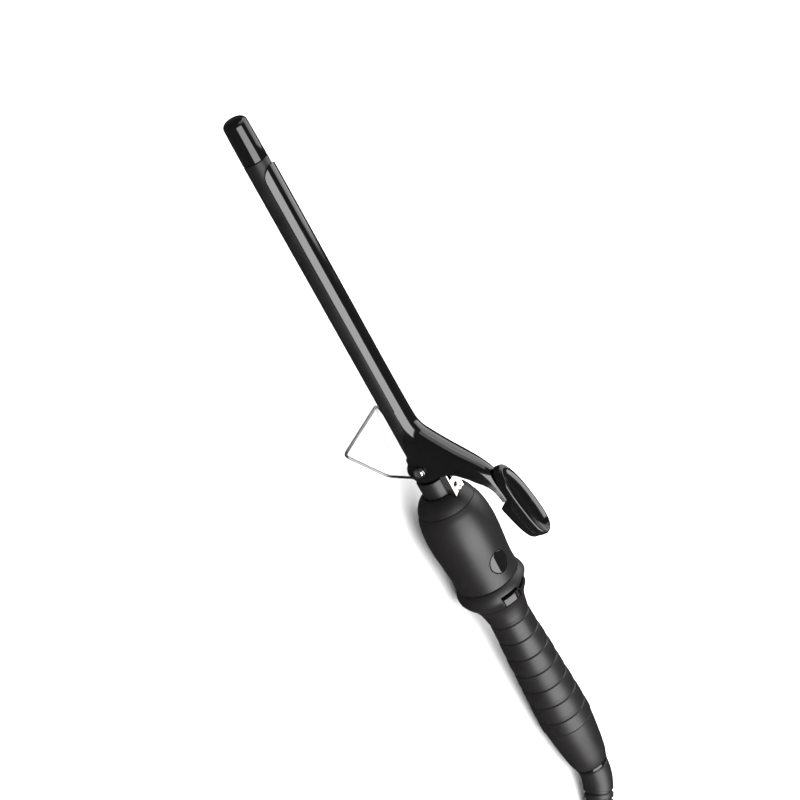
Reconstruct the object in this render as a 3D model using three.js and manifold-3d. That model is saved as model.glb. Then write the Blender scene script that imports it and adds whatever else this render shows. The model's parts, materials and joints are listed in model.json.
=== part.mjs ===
// Curling iron with a spring clamp, a fold-out wire stand, a slide control and a swivel cord.
//
// The iron is modelled in its own frame: the barrel's axis is the x axis, the tip is at -x, the cord
// leaves at +x, the clamp and its lever are on the +z side, and x = 0 is the clamp's pivot. The whole
// iron is then tilted to lie as it does on a table, on the foot of its stand and the end of its grip.
// The cord, its strain relief and its plug are modelled where they lie on the table. Millimetres.

import * as THREE from 'three';
import { mergeVertices } from 'three/addons/utils/BufferGeometryUtils.js';
import Module from 'manifold-3d';

const wasm = await Module();
wasm.setup();

// ---------------------------------------------------------------- driving dimensions

const BARREL_R = 6;            // half of the nominal 12 mm barrel
const TIP_X = -189.5;          // rounded end of the tip cap
const CAP_SEAM_X = -168.5;     // joint between the tip cap and the barrel
const PIVOT_Z = 1.1;           // height of the clamp's pivot over the barrel's axis
const SHEET = 0.8;             // thickness of the clamp's sheet steel
const SPOON_R = 7.1;           // outside radius of the clamp where it lies on the barrel
const EAR_OUT = 8;             // outside of the clamp's ears, either side of the axis
const EAR_IN = 7.3;            // inside of the ears
const STAND_WIRE_R = 0.62;
const STAND_FOOT = [-23.9, 20.3, -23.3];   // middle of the wire at the foot's corner: x, y, z
const COLLAR_X = 76.5;         // the handle's widest place
const COLLAR_R = 18.3;
const GRIP_END_X = 168.3;      // ring at the end of the grip, which rests on the table
const GRIP_END_R = 13.8;
const LAND = 0.3;              // depth of the flat that stops the ring from rolling
const HANDLE_END_X = 198.5;    // flat end of the tail cap
const LENS_X = 59.5;
const LENS_ANGLE = 23;         // degrees that the lamp and its board are turned from the clamp's side
const GAP = 0.3;               // between pieces that touch

// lying on the table: the stand's foot and the ring's flat touch it
const REACH = [GRIP_END_X - STAND_FOOT[0], -GRIP_END_R - STAND_FOOT[2]];
const REST_TILT = Math.atan2(REACH[1], REACH[0])
  + Math.asin((LAND + STAND_WIRE_R) / Math.hypot(...REACH));
const REST_X = -5.9;           // puts the middle of the iron over the origin
const REST_Z = GRIP_END_X * Math.sin(REST_TILT) + GRIP_END_R * Math.cos(REST_TILT) - LAND;

// the cord, on the table
const CORD_R = 2.5;
const HANK_X = 309;            // middle of the folded hank
const HANK_Y = -6;
const HANK_RUN = 76;           // straight length of its runs
const HANK_END_R = 4.5 * 2 * CORD_R;     // outside radius of its round ends
const HANK_WAIST = 2 * 2 * CORD_R;       // how far the tie draws each side in
const HANK_HEIGHT = 4 * 2 * CORD_R;
const HANK_BASE = 1.4;         // thickness of the tie under it

// ---------------------------------------------------------------- materials

const finish = (color, roughness, metalness) =>
  new THREE.MeshStandardMaterial({ color, roughness, metalness });
const GLOSS_BLACK = finish(0x0c0c0e, 0.15, 0);
const LACQUER_BLACK = finish(0x09090b, 0.08, 0.3);
const COATED_BLACK = finish(0x1c1c1e, 0.5, 0.2);
const SOFT_BLACK = finish(0x1d1b1e, 0.6, 0);
const RUBBER_BLACK = finish(0x151416, 0.65, 0);
const NICKEL = finish(0xd8d5cc, 0.2, 1);
const STEEL = finish(0x9a9a98, 0.35, 1);
const ALUMINIUM = finish(0xb4b7ba, 0.4, 1);
const BRASS = finish(0xb5923f, 0.3, 1);
const CERAMIC = finish(0xe8e2d4, 0.7, 0);
const GLASS_FIBRE = finish(0xd9cfae, 0.8, 0);
const BOARD_GREEN = finish(0x1f5b3a, 0.5, 0);
const NYLON = finish(0x3a3a3c, 0.6, 0);
const GREY_PLASTIC = finish(0xc9c8c8, 0.3, 0);
const SMOKED_LENS = finish(0x0a0a0b, 0.05, 0);

// ---------------------------------------------------------------- helpers

// One closed surface with merged corners, no empty triangles and its faces turned out.
function closed(source) {
  source.deleteAttribute('normal');
  source.deleteAttribute('uv');
  const geometry = mergeVertices(source, 1e-4);
  const p = geometry.attributes.position;
  const corners = Array.from(geometry.index.array);
  const kept = [];
  let volume = 0;
  const [a, b, c] = [new THREE.Vector3(), new THREE.Vector3(), new THREE.Vector3()];
  for (let i = 0; i < corners.length; i += 3) {
    const [ia, ib, ic] = corners.slice(i, i + 3);
    if (ia === ib || ib === ic || ic === ia) continue;
    kept.push(ia, ib, ic);
    a.fromBufferAttribute(p, ia);
    b.fromBufferAttribute(p, ib);
    c.fromBufferAttribute(p, ic);
    volume += a.dot(b.cross(c));
  }
  if (volume < 0) kept.reverse();
  geometry.setIndex(kept);
  return geometry;
}

function toSolid(geometry) {
  const g = closed(geometry.clone());
  const vertProperties = new Float32Array(g.attributes.position.array);
  const triVerts = new Uint32Array(g.index.array);
  return new wasm.Manifold(new wasm.Mesh({ numProp: 3, vertProperties, triVerts }));
}

function toGeometry(solid) {
  const mesh = solid.getMesh();
  const geometry = new THREE.BufferGeometry();
  geometry.setAttribute('position', new THREE.BufferAttribute(new Float32Array(mesh.vertProperties), 3));
  geometry.setIndex(Array.from(mesh.triVerts));
  return geometry;
}

const minus = (body, ...cuts) =>
  toGeometry(cuts.reduce((solid, cut) => solid.subtract(toSolid(cut)), toSolid(body)));
const joined = (...bodies) =>
  toGeometry(bodies.map(toSolid).reduce((all, solid) => all.add(solid)));
const common = (body, other) => toGeometry(toSolid(body).intersect(toSolid(other)));

function part(name, geometry, material) {
  const mesh = new THREE.Mesh(closed(geometry), material);
  mesh.name = name;
  return mesh;
}

function together(...children) {
  const group = new THREE.Group();
  group.add(...children);
  return group;
}

// A body turned round the x axis. The outline is a list of [x, radius].
function turned(outline, sides = 32) {
  const points = outline.map(([x, r]) => new THREE.Vector2(r, x));
  return new THREE.LatheGeometry(points, sides).rotateZ(-Math.PI / 2);
}

// A tube round the x axis with an outside outline and a bore given the same way.
const turnedTube = (outside, bore, sides) =>
  turned([...outside, ...bore.slice().reverse(), outside[0]], sides);

const plainTube = (x0, x1, outer, inner, sides = 24) =>
  turnedTube([[x0, outer], [x1, outer]], [[x0, inner], [x1, inner]], sides);

const disc = (x0, x1, r, sides = 20) => turned([[x0, 0], [x0, r], [x1, r], [x1, 0]], sides);

// A rod along y, centred at x and z.
function crossRod(x, z, y0, y1, r, sides = 24) {
  return new THREE.CylinderGeometry(r, r, y1 - y0, sides).translate(x, (y0 + y1) / 2, z);
}

function block(x0, x1, y0, y1, z0, z1) {
  return new THREE.BoxGeometry(x1 - x0, y1 - y0, z1 - z0)
    .translate((x0 + x1) / 2, (y0 + y1) / 2, (z0 + z1) / 2);
}

// An outline drawn in the y-z plane, drawn out along x.
function alongX(shape, x0, x1, curveSegments = 10) {
  return new THREE.ExtrudeGeometry(shape, { depth: x1 - x0, bevelEnabled: false, curveSegments })
    .applyMatrix4(new THREE.Matrix4().makeBasis(
      new THREE.Vector3(0, 1, 0), new THREE.Vector3(0, 0, 1), new THREE.Vector3(1, 0, 0)))
    .translate(x0, 0, 0);
}

// An outline drawn in the x-z plane, drawn out along y.
function alongY(shape, y0, y1, curveSegments = 12) {
  return new THREE.ExtrudeGeometry(shape, { depth: y1 - y0, bevelEnabled: false, curveSegments })
    .rotateX(Math.PI / 2)
    .translate(0, y1, 0);
}

// A piece of a ring round the x axis, between two angles measured from +y towards +z.
function ringPiece(x0, x1, inner, outer, from, to) {
  const [a, b] = [THREE.MathUtils.degToRad(from), THREE.MathUtils.degToRad(to)];
  const shape = new THREE.Shape();
  shape.absarc(0, 0, outer, a, b, false);
  shape.absarc(0, 0, inner, b, a, true);
  return alongX(shape, x0, x1, 8);
}

// A curve through straight stretches whose corners are rounded off.
function roundedPath(points, radius) {
  const corners = points.map((p) => new THREE.Vector3(...p));
  const path = new THREE.CurvePath();
  let from = corners[0];
  for (let i = 1; i < corners.length - 1; i += 1) {
    const reach = Math.min(radius, from.distanceTo(corners[i]) * 0.45);
    const before = corners[i].clone().lerp(from, reach / from.distanceTo(corners[i]));
    const after = corners[i].clone().lerp(corners[i + 1], reach / corners[i + 1].distanceTo(corners[i]));
    path.add(new THREE.LineCurve3(from, before));
    path.add(new THREE.QuadraticBezierCurve3(before, corners[i], after));
    from = after;
  }
  path.add(new THREE.LineCurve3(from, corners.at(-1)));
  return path;
}

function tube(path, radius, steps, sides = 8) {
  const section = new THREE.Shape();
  for (let i = 0; i < sides; i += 1) {
    const angle = (i / sides) * 2 * Math.PI;
    const corner = [radius * Math.cos(angle), radius * Math.sin(angle)];
    if (i === 0) section.moveTo(...corner);
    else section.lineTo(...corner);
  }
  return new THREE.ExtrudeGeometry(section, { steps, extrudePath: path, bevelEnabled: false });
}

const smooth = (points) =>
  new THREE.CatmullRomCurve3(points.map((p) => new THREE.Vector3(...p)), false, 'centripetal');

// A screw along +z with its head's top at z = 0 and a cross recess.
function screw(headR, headHeight, shankR, length) {
  const outline = [[-length, 0], [-length, shankR], [-headHeight, shankR], [-headHeight, headR],
    [-0.3, headR], [0, headR - 0.4], [0, 0]];
  const body = turned(outline, 14).rotateY(-Math.PI / 2);
  const slot = [headR * 0.62, headR * 0.2];
  const recess = 0.45 * headHeight;
  return minus(body,
    block(-slot[0], slot[0], -slot[1], slot[1], -recess, 1),
    block(-slot[1], slot[1], -slot[0], slot[0], -recess, 1));
}

// ---------------------------------------------------------------- barrel and heater

function tipCap() {
  const round = [];
  for (let i = 0; i <= 5; i += 1) {
    const angle = (i / 5) * (Math.PI / 2);
    round.push([TIP_X + 3.2 * (1 - Math.sin(angle)), 2.55 + 3.2 * Math.cos(angle)]);
  }
  return turned([[TIP_X, 0], ...round.reverse(), [CAP_SEAM_X - GAP, BARREL_R - 0.03],
    [CAP_SEAM_X - GAP, 4.95], [-159, 4.95], [-159, 0]], 32);
}

const barrelTube = () => plainTube(CAP_SEAM_X, 40, BARREL_R, BARREL_R - 0.7, 40);

// Half-round aluminium bar that carries heat from the flat ceramic heater to the barrel's wall.
function heatSpreader(side) {
  const radius = 4.95;
  const flat = 1.55;
  const start = Math.asin(flat / radius);
  const shape = new THREE.Shape();
  shape.absarc(0, 0, radius, start, Math.PI - start, false);
  const bar = alongX(shape, -152, -42, 10);
  return side > 0 ? bar : bar.rotateX(Math.PI);
}

const heater = () => block(-148, -46, -3.4, 3.4, -1.25, 1.25);
const leadSleeve = () => plainTube(-38, 36, 4.6, 4, 20);

function heaterLead(side) {
  return tube(smooth([[-41.5, side * 2.4, 0.4], [-34, side * 2, 0.4], [0, side * 1.7, 0],
    [34, side * 1.7, 0], [44.3, side * 2.2, 0.6]]), 0.8, 14, 6);
}

// ---------------------------------------------------------------- hinge at the base of the barrel

// Steel strap: it closes round the barrel's underside, its two walls rise beside the spring, and a
// plate joins them over the sleeve, where a screw holds it.
function hingeBracket() {
  const inner = BARREL_R + GAP;
  const outer = inner + SHEET;
  const [wallIn, wallOut, top] = [3.9, 4.7, 10.9];
  const open = Math.acos(wallIn / inner);
  const band = new THREE.Shape();
  band.absarc(0, 0, outer, Math.PI - open, 2 * Math.PI + open, false);
  band.absarc(0, 0, inner, 2 * Math.PI + open, Math.PI - open, true);
  const pieces = [alongX(band, -4.5, 5.5, 14)];
  for (const side of [-1, 1]) {
    const [a, b] = side > 0 ? [wallIn, wallOut] : [-wallOut, -wallIn];
    pieces.push(block(-4.5, 5.5, a, b, 4.9, top));
    pieces.push(block(5, 23, a, b, 7.4, top));
    pieces.push(crossRod(-1, 11.2, a, b, 2.6));
  }
  pieces.push(block(10.7, 23, -wallOut, wallOut, top - SHEET, top));
  const holes = [crossRod(-1, 11.2, -6, 6, 1.75), crossRod(0, PIVOT_Z, -9, 9, 1.8)];
  holes.push(new THREE.CylinderGeometry(1.7, 1.7, 4, 20).rotateX(Math.PI / 2).translate(16.2, 0, top));
  return minus(joined(...pieces), ...holes);
}

// Sleeve that carries the barrel into the handle.
const baseSleeve = () => plainTube(8.2, 27.5, 8, 6.3, 32);

function bracketScrew() {
  return screw(2.5, 1.1, 1.35, 3.2).translate(16.2, 0, 12.1);
}

const springPin = () => crossRod(-1, 11.2, -5.3, 5.3, 1.45, 16);

// Double-leg torsion spring: one leg rests on the sleeve, the other lifts the lever.
class SpringCurve extends THREE.Curve {
  constructor() {
    super();
    this.turns = 6.25;
    this.radius = 2.4;
    this.pitch = 1.02;
    this.legs = [12.5, 12.4];
  }

  getPoint(t, target = new THREE.Vector3()) {
    const winding = this.turns * 2 * Math.PI * this.radius;
    const total = this.legs[0] + winding + this.legs[1];
    const s = t * total;
    const half = (this.turns * this.pitch) / 2;
    const at = (angle, y) => target.set(
      -1 + this.radius * Math.cos(angle), y, 11.2 + this.radius * Math.sin(angle));
    const start = -Math.PI / 2;
    const end = start - this.turns * 2 * Math.PI;
    if (s < this.legs[0]) return at(start, -half).add(new THREE.Vector3(this.legs[0] - s, 0, 0));
    if (s > total - this.legs[1]) {
      const out = s - (total - this.legs[1]);
      return at(end, half).add(new THREE.Vector3(out * 0.42, 0, out * 0.9075));
    }
    const share = (s - this.legs[0]) / winding;
    return at(start + (end - start) * share, -half + 2 * half * share);
  }
}

const torsionSpring = () => tube(new SpringCurve(), 0.42, 100, 5);

function pivotScrew(side) {
  return screw(2.3, 0.9, 1.5, 4)
    .rotateX(side > 0 ? -Math.PI / 2 : Math.PI / 2)
    .translate(0, side * 10.4, PIVOT_Z);
}

function pivotBush(side) {
  const [y0, y1] = side > 0 ? [7.25, 8.08] : [-8.08, -7.25];
  return minus(crossRod(0, PIVOT_Z, y0, y1, 2.5, 32), crossRod(0, PIVOT_Z, -9, 9, 1.62, 20));
}

// ---------------------------------------------------------------- clamp

// Cross-sections of the pressed sheet: where the middle of its top is (x, z), how steeply it climbs
// (degrees), the half-width of its flat top, its corner radius, how far round the corner it bends
// (degrees), and how deep its side walls are below the corner.
const CLAMP_SECTIONS = [
  [-165, 7.1, 0, 0, SPOON_R, 16, 0], [-164.2, 7.1, 0, 0, SPOON_R, 34, 0],
  [-162, 7.1, 0, 0, SPOON_R, 47, 0], [-158, 7.1, 0, 0, SPOON_R, 60, 0],
  [-96, 7.1, 0, 0, SPOON_R, 60, 0], [-34, 7.15, 1, 0, SPOON_R, 60, 0],
  [-28, 7.25, 3, 0, SPOON_R, 60, 0.2], [-22, 7.8, 14, 0, SPOON_R, 60, 1.2],
  [-19, 8.9, 26, 0, SPOON_R, 60, 2.4], [-16.5, 10.6, 34, 0, SPOON_R, 60, 3.4],
  [-13, 13.4, 39, 0, SPOON_R, 60, 3.7], [-8.5, 17.1, 40, 0, SPOON_R, 60, 3.7],
  [-3.5, 21.6, 43, 0, SPOON_R, 60, 3.7], [0.4, 25.3, 43, 0, 6.6, 60, 4],
  [4.8, 29.2, 39, 0, 6, 60, 4.6], [9, 32.1, 30, 0, 5.4, 60, 4.7],
  [13.5, 34, 20, 0, 5.1, 60, 3.3], [18, 35.15, 13, 0, 4.9, 60, 2.1],
  [22.5, 36, 10.6, 0, 4.8, 60, 1.7], [26.3, 36.7, 10.6, 0, 4.8, 60, 1.7],
];

function clampSection([x, z, climb, flat, radius, bend, wall]) {
  const tilt = THREE.MathUtils.degToRad(climb);
  const place = (y, depth) =>
    new THREE.Vector3(x + depth * Math.sin(tilt), y, z - depth * Math.cos(tilt));
  const half = (inset) => {
    const points = [];
    const arcs = 4;
    for (let i = 0; i <= arcs; i += 1) {
      const a = THREE.MathUtils.degToRad((bend * i) / arcs);
      points.push([flat + (radius - inset) * Math.sin(a), radius - (radius - inset) * Math.cos(a)]);
    }
    const a = THREE.MathUtils.degToRad(bend);
    const [y, depth] = points.at(-1);
    points.push([y + wall * Math.cos(a), depth + wall * Math.sin(a)]);
    return points;
  };
  const row = (inset) => {
    const right = half(inset);
    const left = right.map(([y, depth]) => [-y, depth]).reverse();
    return [...left, ...right].map(([y, depth]) => place(y, depth));
  };
  return { outer: row(0), inner: row(SHEET) };
}

// Sheet between an outer and an inner surface, both given as rows of points.
function loftedSheet(sections) {
  const positions = [];
  const quad = (a, b, c, d) => {
    for (const corner of [a, b, c, a, c, d]) positions.push(corner.x, corner.y, corner.z);
  };
  const last = sections[0].outer.length - 1;
  for (let i = 0; i + 1 < sections.length; i += 1) {
    const [s, t] = [sections[i], sections[i + 1]];
    for (let j = 0; j < last; j += 1) {
      quad(s.outer[j], t.outer[j], t.outer[j + 1], s.outer[j + 1]);
      quad(s.inner[j], s.inner[j + 1], t.inner[j + 1], t.inner[j]);
    }
    quad(s.outer[0], s.inner[0], t.inner[0], t.outer[0]);
    quad(s.outer[last], t.outer[last], t.inner[last], s.inner[last]);
  }
  const [first, end] = [sections[0], sections.at(-1)];
  for (let j = 0; j < last; j += 1) {
    quad(first.outer[j], first.outer[j + 1], first.inner[j + 1], first.inner[j]);
    quad(end.outer[j], end.inner[j], end.inner[j + 1], end.outer[j + 1]);
  }
  const geometry = new THREE.BufferGeometry();
  geometry.setAttribute('position', new THREE.Float32BufferAttribute(positions, 3));
  return geometry;
}

// Side plate that carries the lever's wall down to the pivot.
function earPlate(side) {
  const shape = new THREE.Shape();
  shape.moveTo(-17.5, 3.4);
  shape.lineTo(-19, 1.6);
  shape.quadraticCurveTo(-16, 0.2, -11, -0.6);
  shape.quadraticCurveTo(-7, -1.6, -5, -2.9);
  shape.absarc(0, PIVOT_Z, 6.4, Math.PI * 1.22, Math.PI * 2.02, false);
  shape.quadraticCurveTo(4.6, 9, 4.7, 14);
  shape.quadraticCurveTo(5, 17.6, 7, 20.9);
  shape.lineTo(5.6, 20.9);
  shape.lineTo(1, 17);
  shape.lineTo(-4.5, 12);
  shape.lineTo(-9, 7.9);
  shape.lineTo(-13, 5.1);
  shape.closePath();
  return side > 0 ? alongY(shape, EAR_IN, EAR_OUT) : alongY(shape, -EAR_OUT, -EAR_IN);
}

function clampLever() {
  const sheet = loftedSheet(CLAMP_SECTIONS.map(clampSection));
  const holes = [crossRod(0, PIVOT_Z, -9, 9, 2.6, 32)];
  const screwHole = new THREE.CylinderGeometry(1.3, 1.3, 6, 16).rotateX(Math.PI / 2);
  holes.push(screwHole.translate(19.3, 0, 35.2));
  return minus(joined(sheet, earPlate(-1), earPlate(1)), ...holes);
}

// ---------------------------------------------------------------- thumb rest

const THUMB_CENTRE = [29.8, 40.9];   // x and z of the middle of its parting line
const THUMB_TILT = 10.6;             // degrees, rising towards the handle's end
const THUMB_HALF = [20.9, 7.1];      // half-length and half-width

function thumbOutline(inset) {
  const [a, b] = [THUMB_HALF[0] - inset, THUMB_HALF[1] - inset];
  const shape = new THREE.Shape();
  const count = 30;
  for (let i = 0; i < count; i += 1) {
    const angle = (i / count) * 2 * Math.PI;
    const [c, s] = [Math.cos(angle), Math.sin(angle)];
    const x = a * Math.sign(c) * Math.abs(c) ** 0.72;
    const y = b * Math.sign(s) * Math.abs(s) ** 0.82;
    if (i === 0) shape.moveTo(x, y);
    else shape.lineTo(x, y);
  }
  shape.closePath();
  return shape;
}

function upright(shape, z0, z1) {
  return new THREE.ExtrudeGeometry(shape, { depth: z1 - z0, bevelEnabled: false }).translate(0, 0, z0);
}

// Dished pad under the thumb. The dish is one big ball's worth of hollow, longer than it is wide.
function thumbPad() {
  const body = joined(upright(thumbOutline(0), -3.2, 0.5), upright(thumbOutline(0.7), 0.4, 1.2));
  const dish = new THREE.SphereGeometry(1, 20, 12).scale(21.6, 7.2, 5).translate(0, 0, 4);
  const hole = new THREE.CylinderGeometry(1.4, 1.4, 4, 12)
    .rotateX(Math.PI / 2)
    .translate(-11.4, 0, -3.2);
  const coverHole = new THREE.CylinderGeometry(1.2, 1.2, 3, 16)
    .rotateX(Math.PI / 2)
    .translate(8, 0, -3.2);
  return minus(body, dish, hole, coverHole);
}

// Closed cover under the pad's rear half, narrower towards its end.
function thumbCover() {
  const body = upright(thumbOutline(0.1), -9, -3.2 - GAP);
  const side = new THREE.Shape();
  side.moveTo(-2.6, -9);
  side.lineTo(16.5, -6.8);
  side.quadraticCurveTo(20.6, -6.3, 21.5, -2);
  side.lineTo(-2.6, -2);
  side.closePath();
  const hole = new THREE.CylinderGeometry(1.4, 1.4, 12, 16).rotateX(Math.PI / 2).translate(8, 0, -7);
  const seat = new THREE.CylinderGeometry(2.6, 2.6, 3.4, 20).rotateX(Math.PI / 2).translate(8, 0, -7.6);
  return minus(common(body, alongY(side, -12, 12)), hole, seat);
}

function thumbRest() {
  const up = (geometry, x, z) => geometry.rotateX(Math.PI).translate(x, 0, z);
  const group = together(
    part('thumb_pad', thumbPad(), GLOSS_BLACK),
    part('thumb_cover', thumbCover(), GLOSS_BLACK),
    part('cover_screw', up(screw(2.1, 1, 0.95, 5), 8, -6.9), STEEL));
  group.position.set(THUMB_CENTRE[0], 0, THUMB_CENTRE[1]);
  group.rotation.y = -THREE.MathUtils.degToRad(THUMB_TILT);
  return group;
}

function thumbScrew() {
  return screw(2.1, 1, 0.95, 4.3)
    .rotateX(Math.PI)
    .rotateY(-THREE.MathUtils.degToRad(THUMB_TILT))
    .translate(19.75, 0, 32.65);
}

// ---------------------------------------------------------------- wire stand

function wireStand() {
  const [footX, footY, footZ] = STAND_FOOT;
  const eyeY = 8.78;
  const eyeR = 2.55;
  const eye = [];
  const turns = 11;
  for (let i = 0; i <= turns; i += 1) {
    const angle = THREE.MathUtils.degToRad(300 - (300 * i) / turns);
    eye.push([eyeR * Math.cos(angle), -eyeY, PIVOT_Z + eyeR * Math.sin(angle)]);
  }
  const leg = [[2.2, -9, -2], [-3.2, -12, -13.3], [footX, -footY, footZ]];
  const near = [...eye, ...leg];
  const far = near.map(([x, y, z]) => [x, -y, z]).reverse();
  return tube(roundedPath([...near, ...far], 2.6), STAND_WIRE_R, 104, 6);
}

// ---------------------------------------------------------------- handle shells

function frontCollar() {
  const outside = [[17.3, 8.9], [18.2, 10.5], [19.6, 12.1], [21.4, 13.5], [23.2, 14.4], [24.7, 14.9]];
  const bore = [[17.3, 8.35], [21.2, 8.35], [21.2, 10], [24.7, 10]];
  return minus(turnedTube(outside, bore, 36), block(16, 26, -5, 5, 4, 11.25));
}

function lensBlank(grow) {
  const shape = new THREE.Shape();
  shape.absellipse(0, 0, 6 + grow, 5.4 + grow, 0, 2 * Math.PI, false);
  return new THREE.ExtrudeGeometry(shape, { depth: 8, bevelEnabled: false, curveSegments: 10 })
    .translate(LENS_X, 0, 11.6)
    .rotateX(THREE.MathUtils.degToRad(LENS_ANGLE));
}

function upperShell() {
  const outside = [[25, 14.9], [27.5, 16], [31, 16.9], [35.5, 17.6], [40.5, 17.9], [46, 17.85],
    [52, 17.4], [58, 16.85], [64, 16.45], [71.3, 16.5]];
  const bore = [[25, 13], [31, 14.9], [40.5, 15.9], [64, 14.5], [71.3, 14.4]];
  return minus(turnedTube(outside, bore, 40), lensBlank(0.25));
}

const lampLens = () => common(lensBlank(0), disc(50, 70, 17.1, 40));

// The control's recess and its knob, in degrees round the handle from -y towards +z.
const SLOT_FROM = 38;
const SLOT_TO = 128;
const KNOB_SPAN = 34;

function controlCollar() {
  const outside = [[71.6, 16.6], [73.4, 17.6], [75, 18.2], [COLLAR_X, COLLAR_R], [78.2, 18.1],
    [80, 17.3], [82.2, 15.9], [84, 14.5]];
  const bore = [[71.6, 13.2], [84, 13.2]];
  const recess = ringPiece(75.4, 82.3, 15.3, 20, 180 - SLOT_TO, 180 - SLOT_FROM);
  const slot = ringPiece(79.1, 80.9, 12, 16, 180 - SLOT_TO + 4, 180 - SLOT_FROM - 8);
  return minus(turnedTube(outside, bore, 40), recess, slot);
}

// Slide knob: a curved button in the collar's recess, with grip grooves near its end and a stem
// through the slot to the switch.
function slideKnob() {
  const [from, middle] = [180 - SLOT_FROM - 1.5, 180 - SLOT_FROM - 1.5 - KNOB_SPAN / 2];
  const button = ringPiece(77.3, 82, 15.6, 18.3, from - KNOB_SPAN, from);
  const stem = ringPiece(79.4, 80.6, 12.2, 15.8, middle - 4, middle + 4);
  const grooves = [22, 26, 30].map((angle) =>
    ringPiece(77, 82.3, 17.7, 19, from - angle - 1.8, from - angle));
  return minus(joined(button, stem), ...grooves);
}

const switchTrack = () => ringPiece(76, 83, 9.5, 11.9, 180 - SLOT_TO - 4, 180 - SLOT_FROM + 4);

const GRIP_GROOVES = { first: 97.5, pitch: 10.5, count: 7, depth: 0.5, half: 0.55 };

function gripSleeve() {
  const profile = [[84.3, 14.3], [87.5, 12.8], [92, 11.6], [99.5, 10.9], [110, 11.4], [119.5, 12],
    [135.5, 12.6], [150.5, 13.3], [160, 13.7], [GRIP_END_X, GRIP_END_R]];
  const body = new THREE.SplineCurve(profile.map((p) => new THREE.Vector2(...p)));
  const radiusAt = (x) => {
    let [low, high] = [0, 1];
    for (let i = 0; i < 30; i += 1) {
      const middle = (low + high) / 2;
      if (body.getPoint(middle).x < x) low = middle;
      else high = middle;
    }
    return body.getPoint(low).y;
  };
  const outside = [84.3, 87, 90, 93.5].map((x) => [x, radiusAt(x)]);
  for (let i = 0; i < GRIP_GROOVES.count; i += 1) {
    const x = GRIP_GROOVES.first + i * GRIP_GROOVES.pitch;
    outside.push([x - GRIP_GROOVES.half, radiusAt(x - GRIP_GROOVES.half)],
      [x, radiusAt(x) - GRIP_GROOVES.depth],
      [x + GRIP_GROOVES.half, radiusAt(x + GRIP_GROOVES.half)]);
  }
  outside.push([GRIP_END_X, GRIP_END_R]);
  const table = block(-12, 6, -8, 8, -4, 0).rotateY(-REST_TILT)
    .translate(GRIP_END_X, 0, -GRIP_END_R + LAND / Math.cos(REST_TILT));
  return minus(turnedTube(outside, [[84.3, 9.3], [GRIP_END_X, 9.3]], 26), table);
}

function tailCap() {
  const outside = [[168.7, 13.4], [174, 13], [181, 12.3], [188, 11.5], [193, 10.8], [196.6, 10],
    [HANDLE_END_X, 9.3]];
  const bore = [[168.7, 9.3], [176, 9.3], [193.9, 8.2], [193.9, 5.4], [HANDLE_END_X, 5.4]];
  return turnedTube(outside, bore, 28);
}

// ---------------------------------------------------------------- inside the handle

// Tube that the shells slide onto, cut open over the circuit board.
function innerChassis() {
  const body = plainTube(41, 167, 9, 7.4, 32);
  const opening = block(43, 73.5, -12, 12, 2, 12).rotateX(THREE.MathUtils.degToRad(LENS_ANGLE));
  const vent = block(76, 83, -12, 12, 4.5, 12);
  return minus(body, opening, vent);
}

const barrelBulkhead = () => plainTube(28.5, 36.5, 12.6, 6.3, 32);

function controlBoard() {
  const parts = together(
    part('control_board', block(45, 72, -6.4, 6.4, 4.2, 5.6), BOARD_GREEN),
    part('indicator_led', new THREE.CylinderGeometry(1.5, 1.5, 4, 16).rotateX(Math.PI / 2)
      .translate(LENS_X, 0, 8), CERAMIC),
    part('capacitor', new THREE.CylinderGeometry(2.4, 2.4, 5, 16).rotateX(Math.PI / 2)
      .translate(50, 2.6, 8.5), NYLON),
    part('triac', block(52.5, 56.5, -5.4, 0.6, 6, 7.6), NYLON),
    part('thermal_fuse', disc(-5, 5, 1.6, 16).rotateZ(Math.PI / 2).translate(66.5, 0, 7.6), STEEL));
  parts.rotation.x = THREE.MathUtils.degToRad(LENS_ANGLE);
  return parts;
}

function boardLead(side, endX) {
  return tube(smooth([[72.5, side * 3, -1.6], [80, side * 4.4, -2.4], [110, side * 3.6, -1],
    [150, side * 3.8, 0], [endX - 6, side * 5.2, 0], [endX, side * 7, 0]]), 0.8, 18, 6);
}

// ---------------------------------------------------------------- cord swivel

const SLIP_RING_X = [179.5, 184.5];

function swivelCollar() {
  const outside = [[176.5, 3.9], [194.4, 3.9], [194.4, 5.15], [198.8, 5.15], [198.8, 8.6], [199.4, 8.95],
    [200.4, 8.95], [201, 8.6]];
  return turnedTube(outside, [[176.5, 2.9], [201, 2.9]], 28);
}

const swivelRetainer = () => plainTube(190.6, 193.6, 7.3, 4.15, 32);
const slipRing = (x) => plainTube(x - 1, x + 1, 5, 4.15, 24);

// Springy brass strip that bears on a slip ring.
function contactBrush(x, side) {
  const shape = new THREE.Shape();
  shape.moveTo(x - 10, side * 7);
  shape.lineTo(x - 2, side * 6.6);
  shape.lineTo(x, side * 5.35);
  shape.lineTo(x + 1.2, side * 6.2);
  shape.lineTo(x + 1.2, side * 6.6);
  shape.lineTo(x, side * 5.8);
  shape.lineTo(x - 1.8, side * 7);
  shape.lineTo(x - 10, side * 7.3);
  shape.closePath();
  return new THREE.ExtrudeGeometry(shape, { depth: 2, bevelEnabled: false }).translate(0, 0, -1);
}

// ---------------------------------------------------------------- cord, on the table

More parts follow.
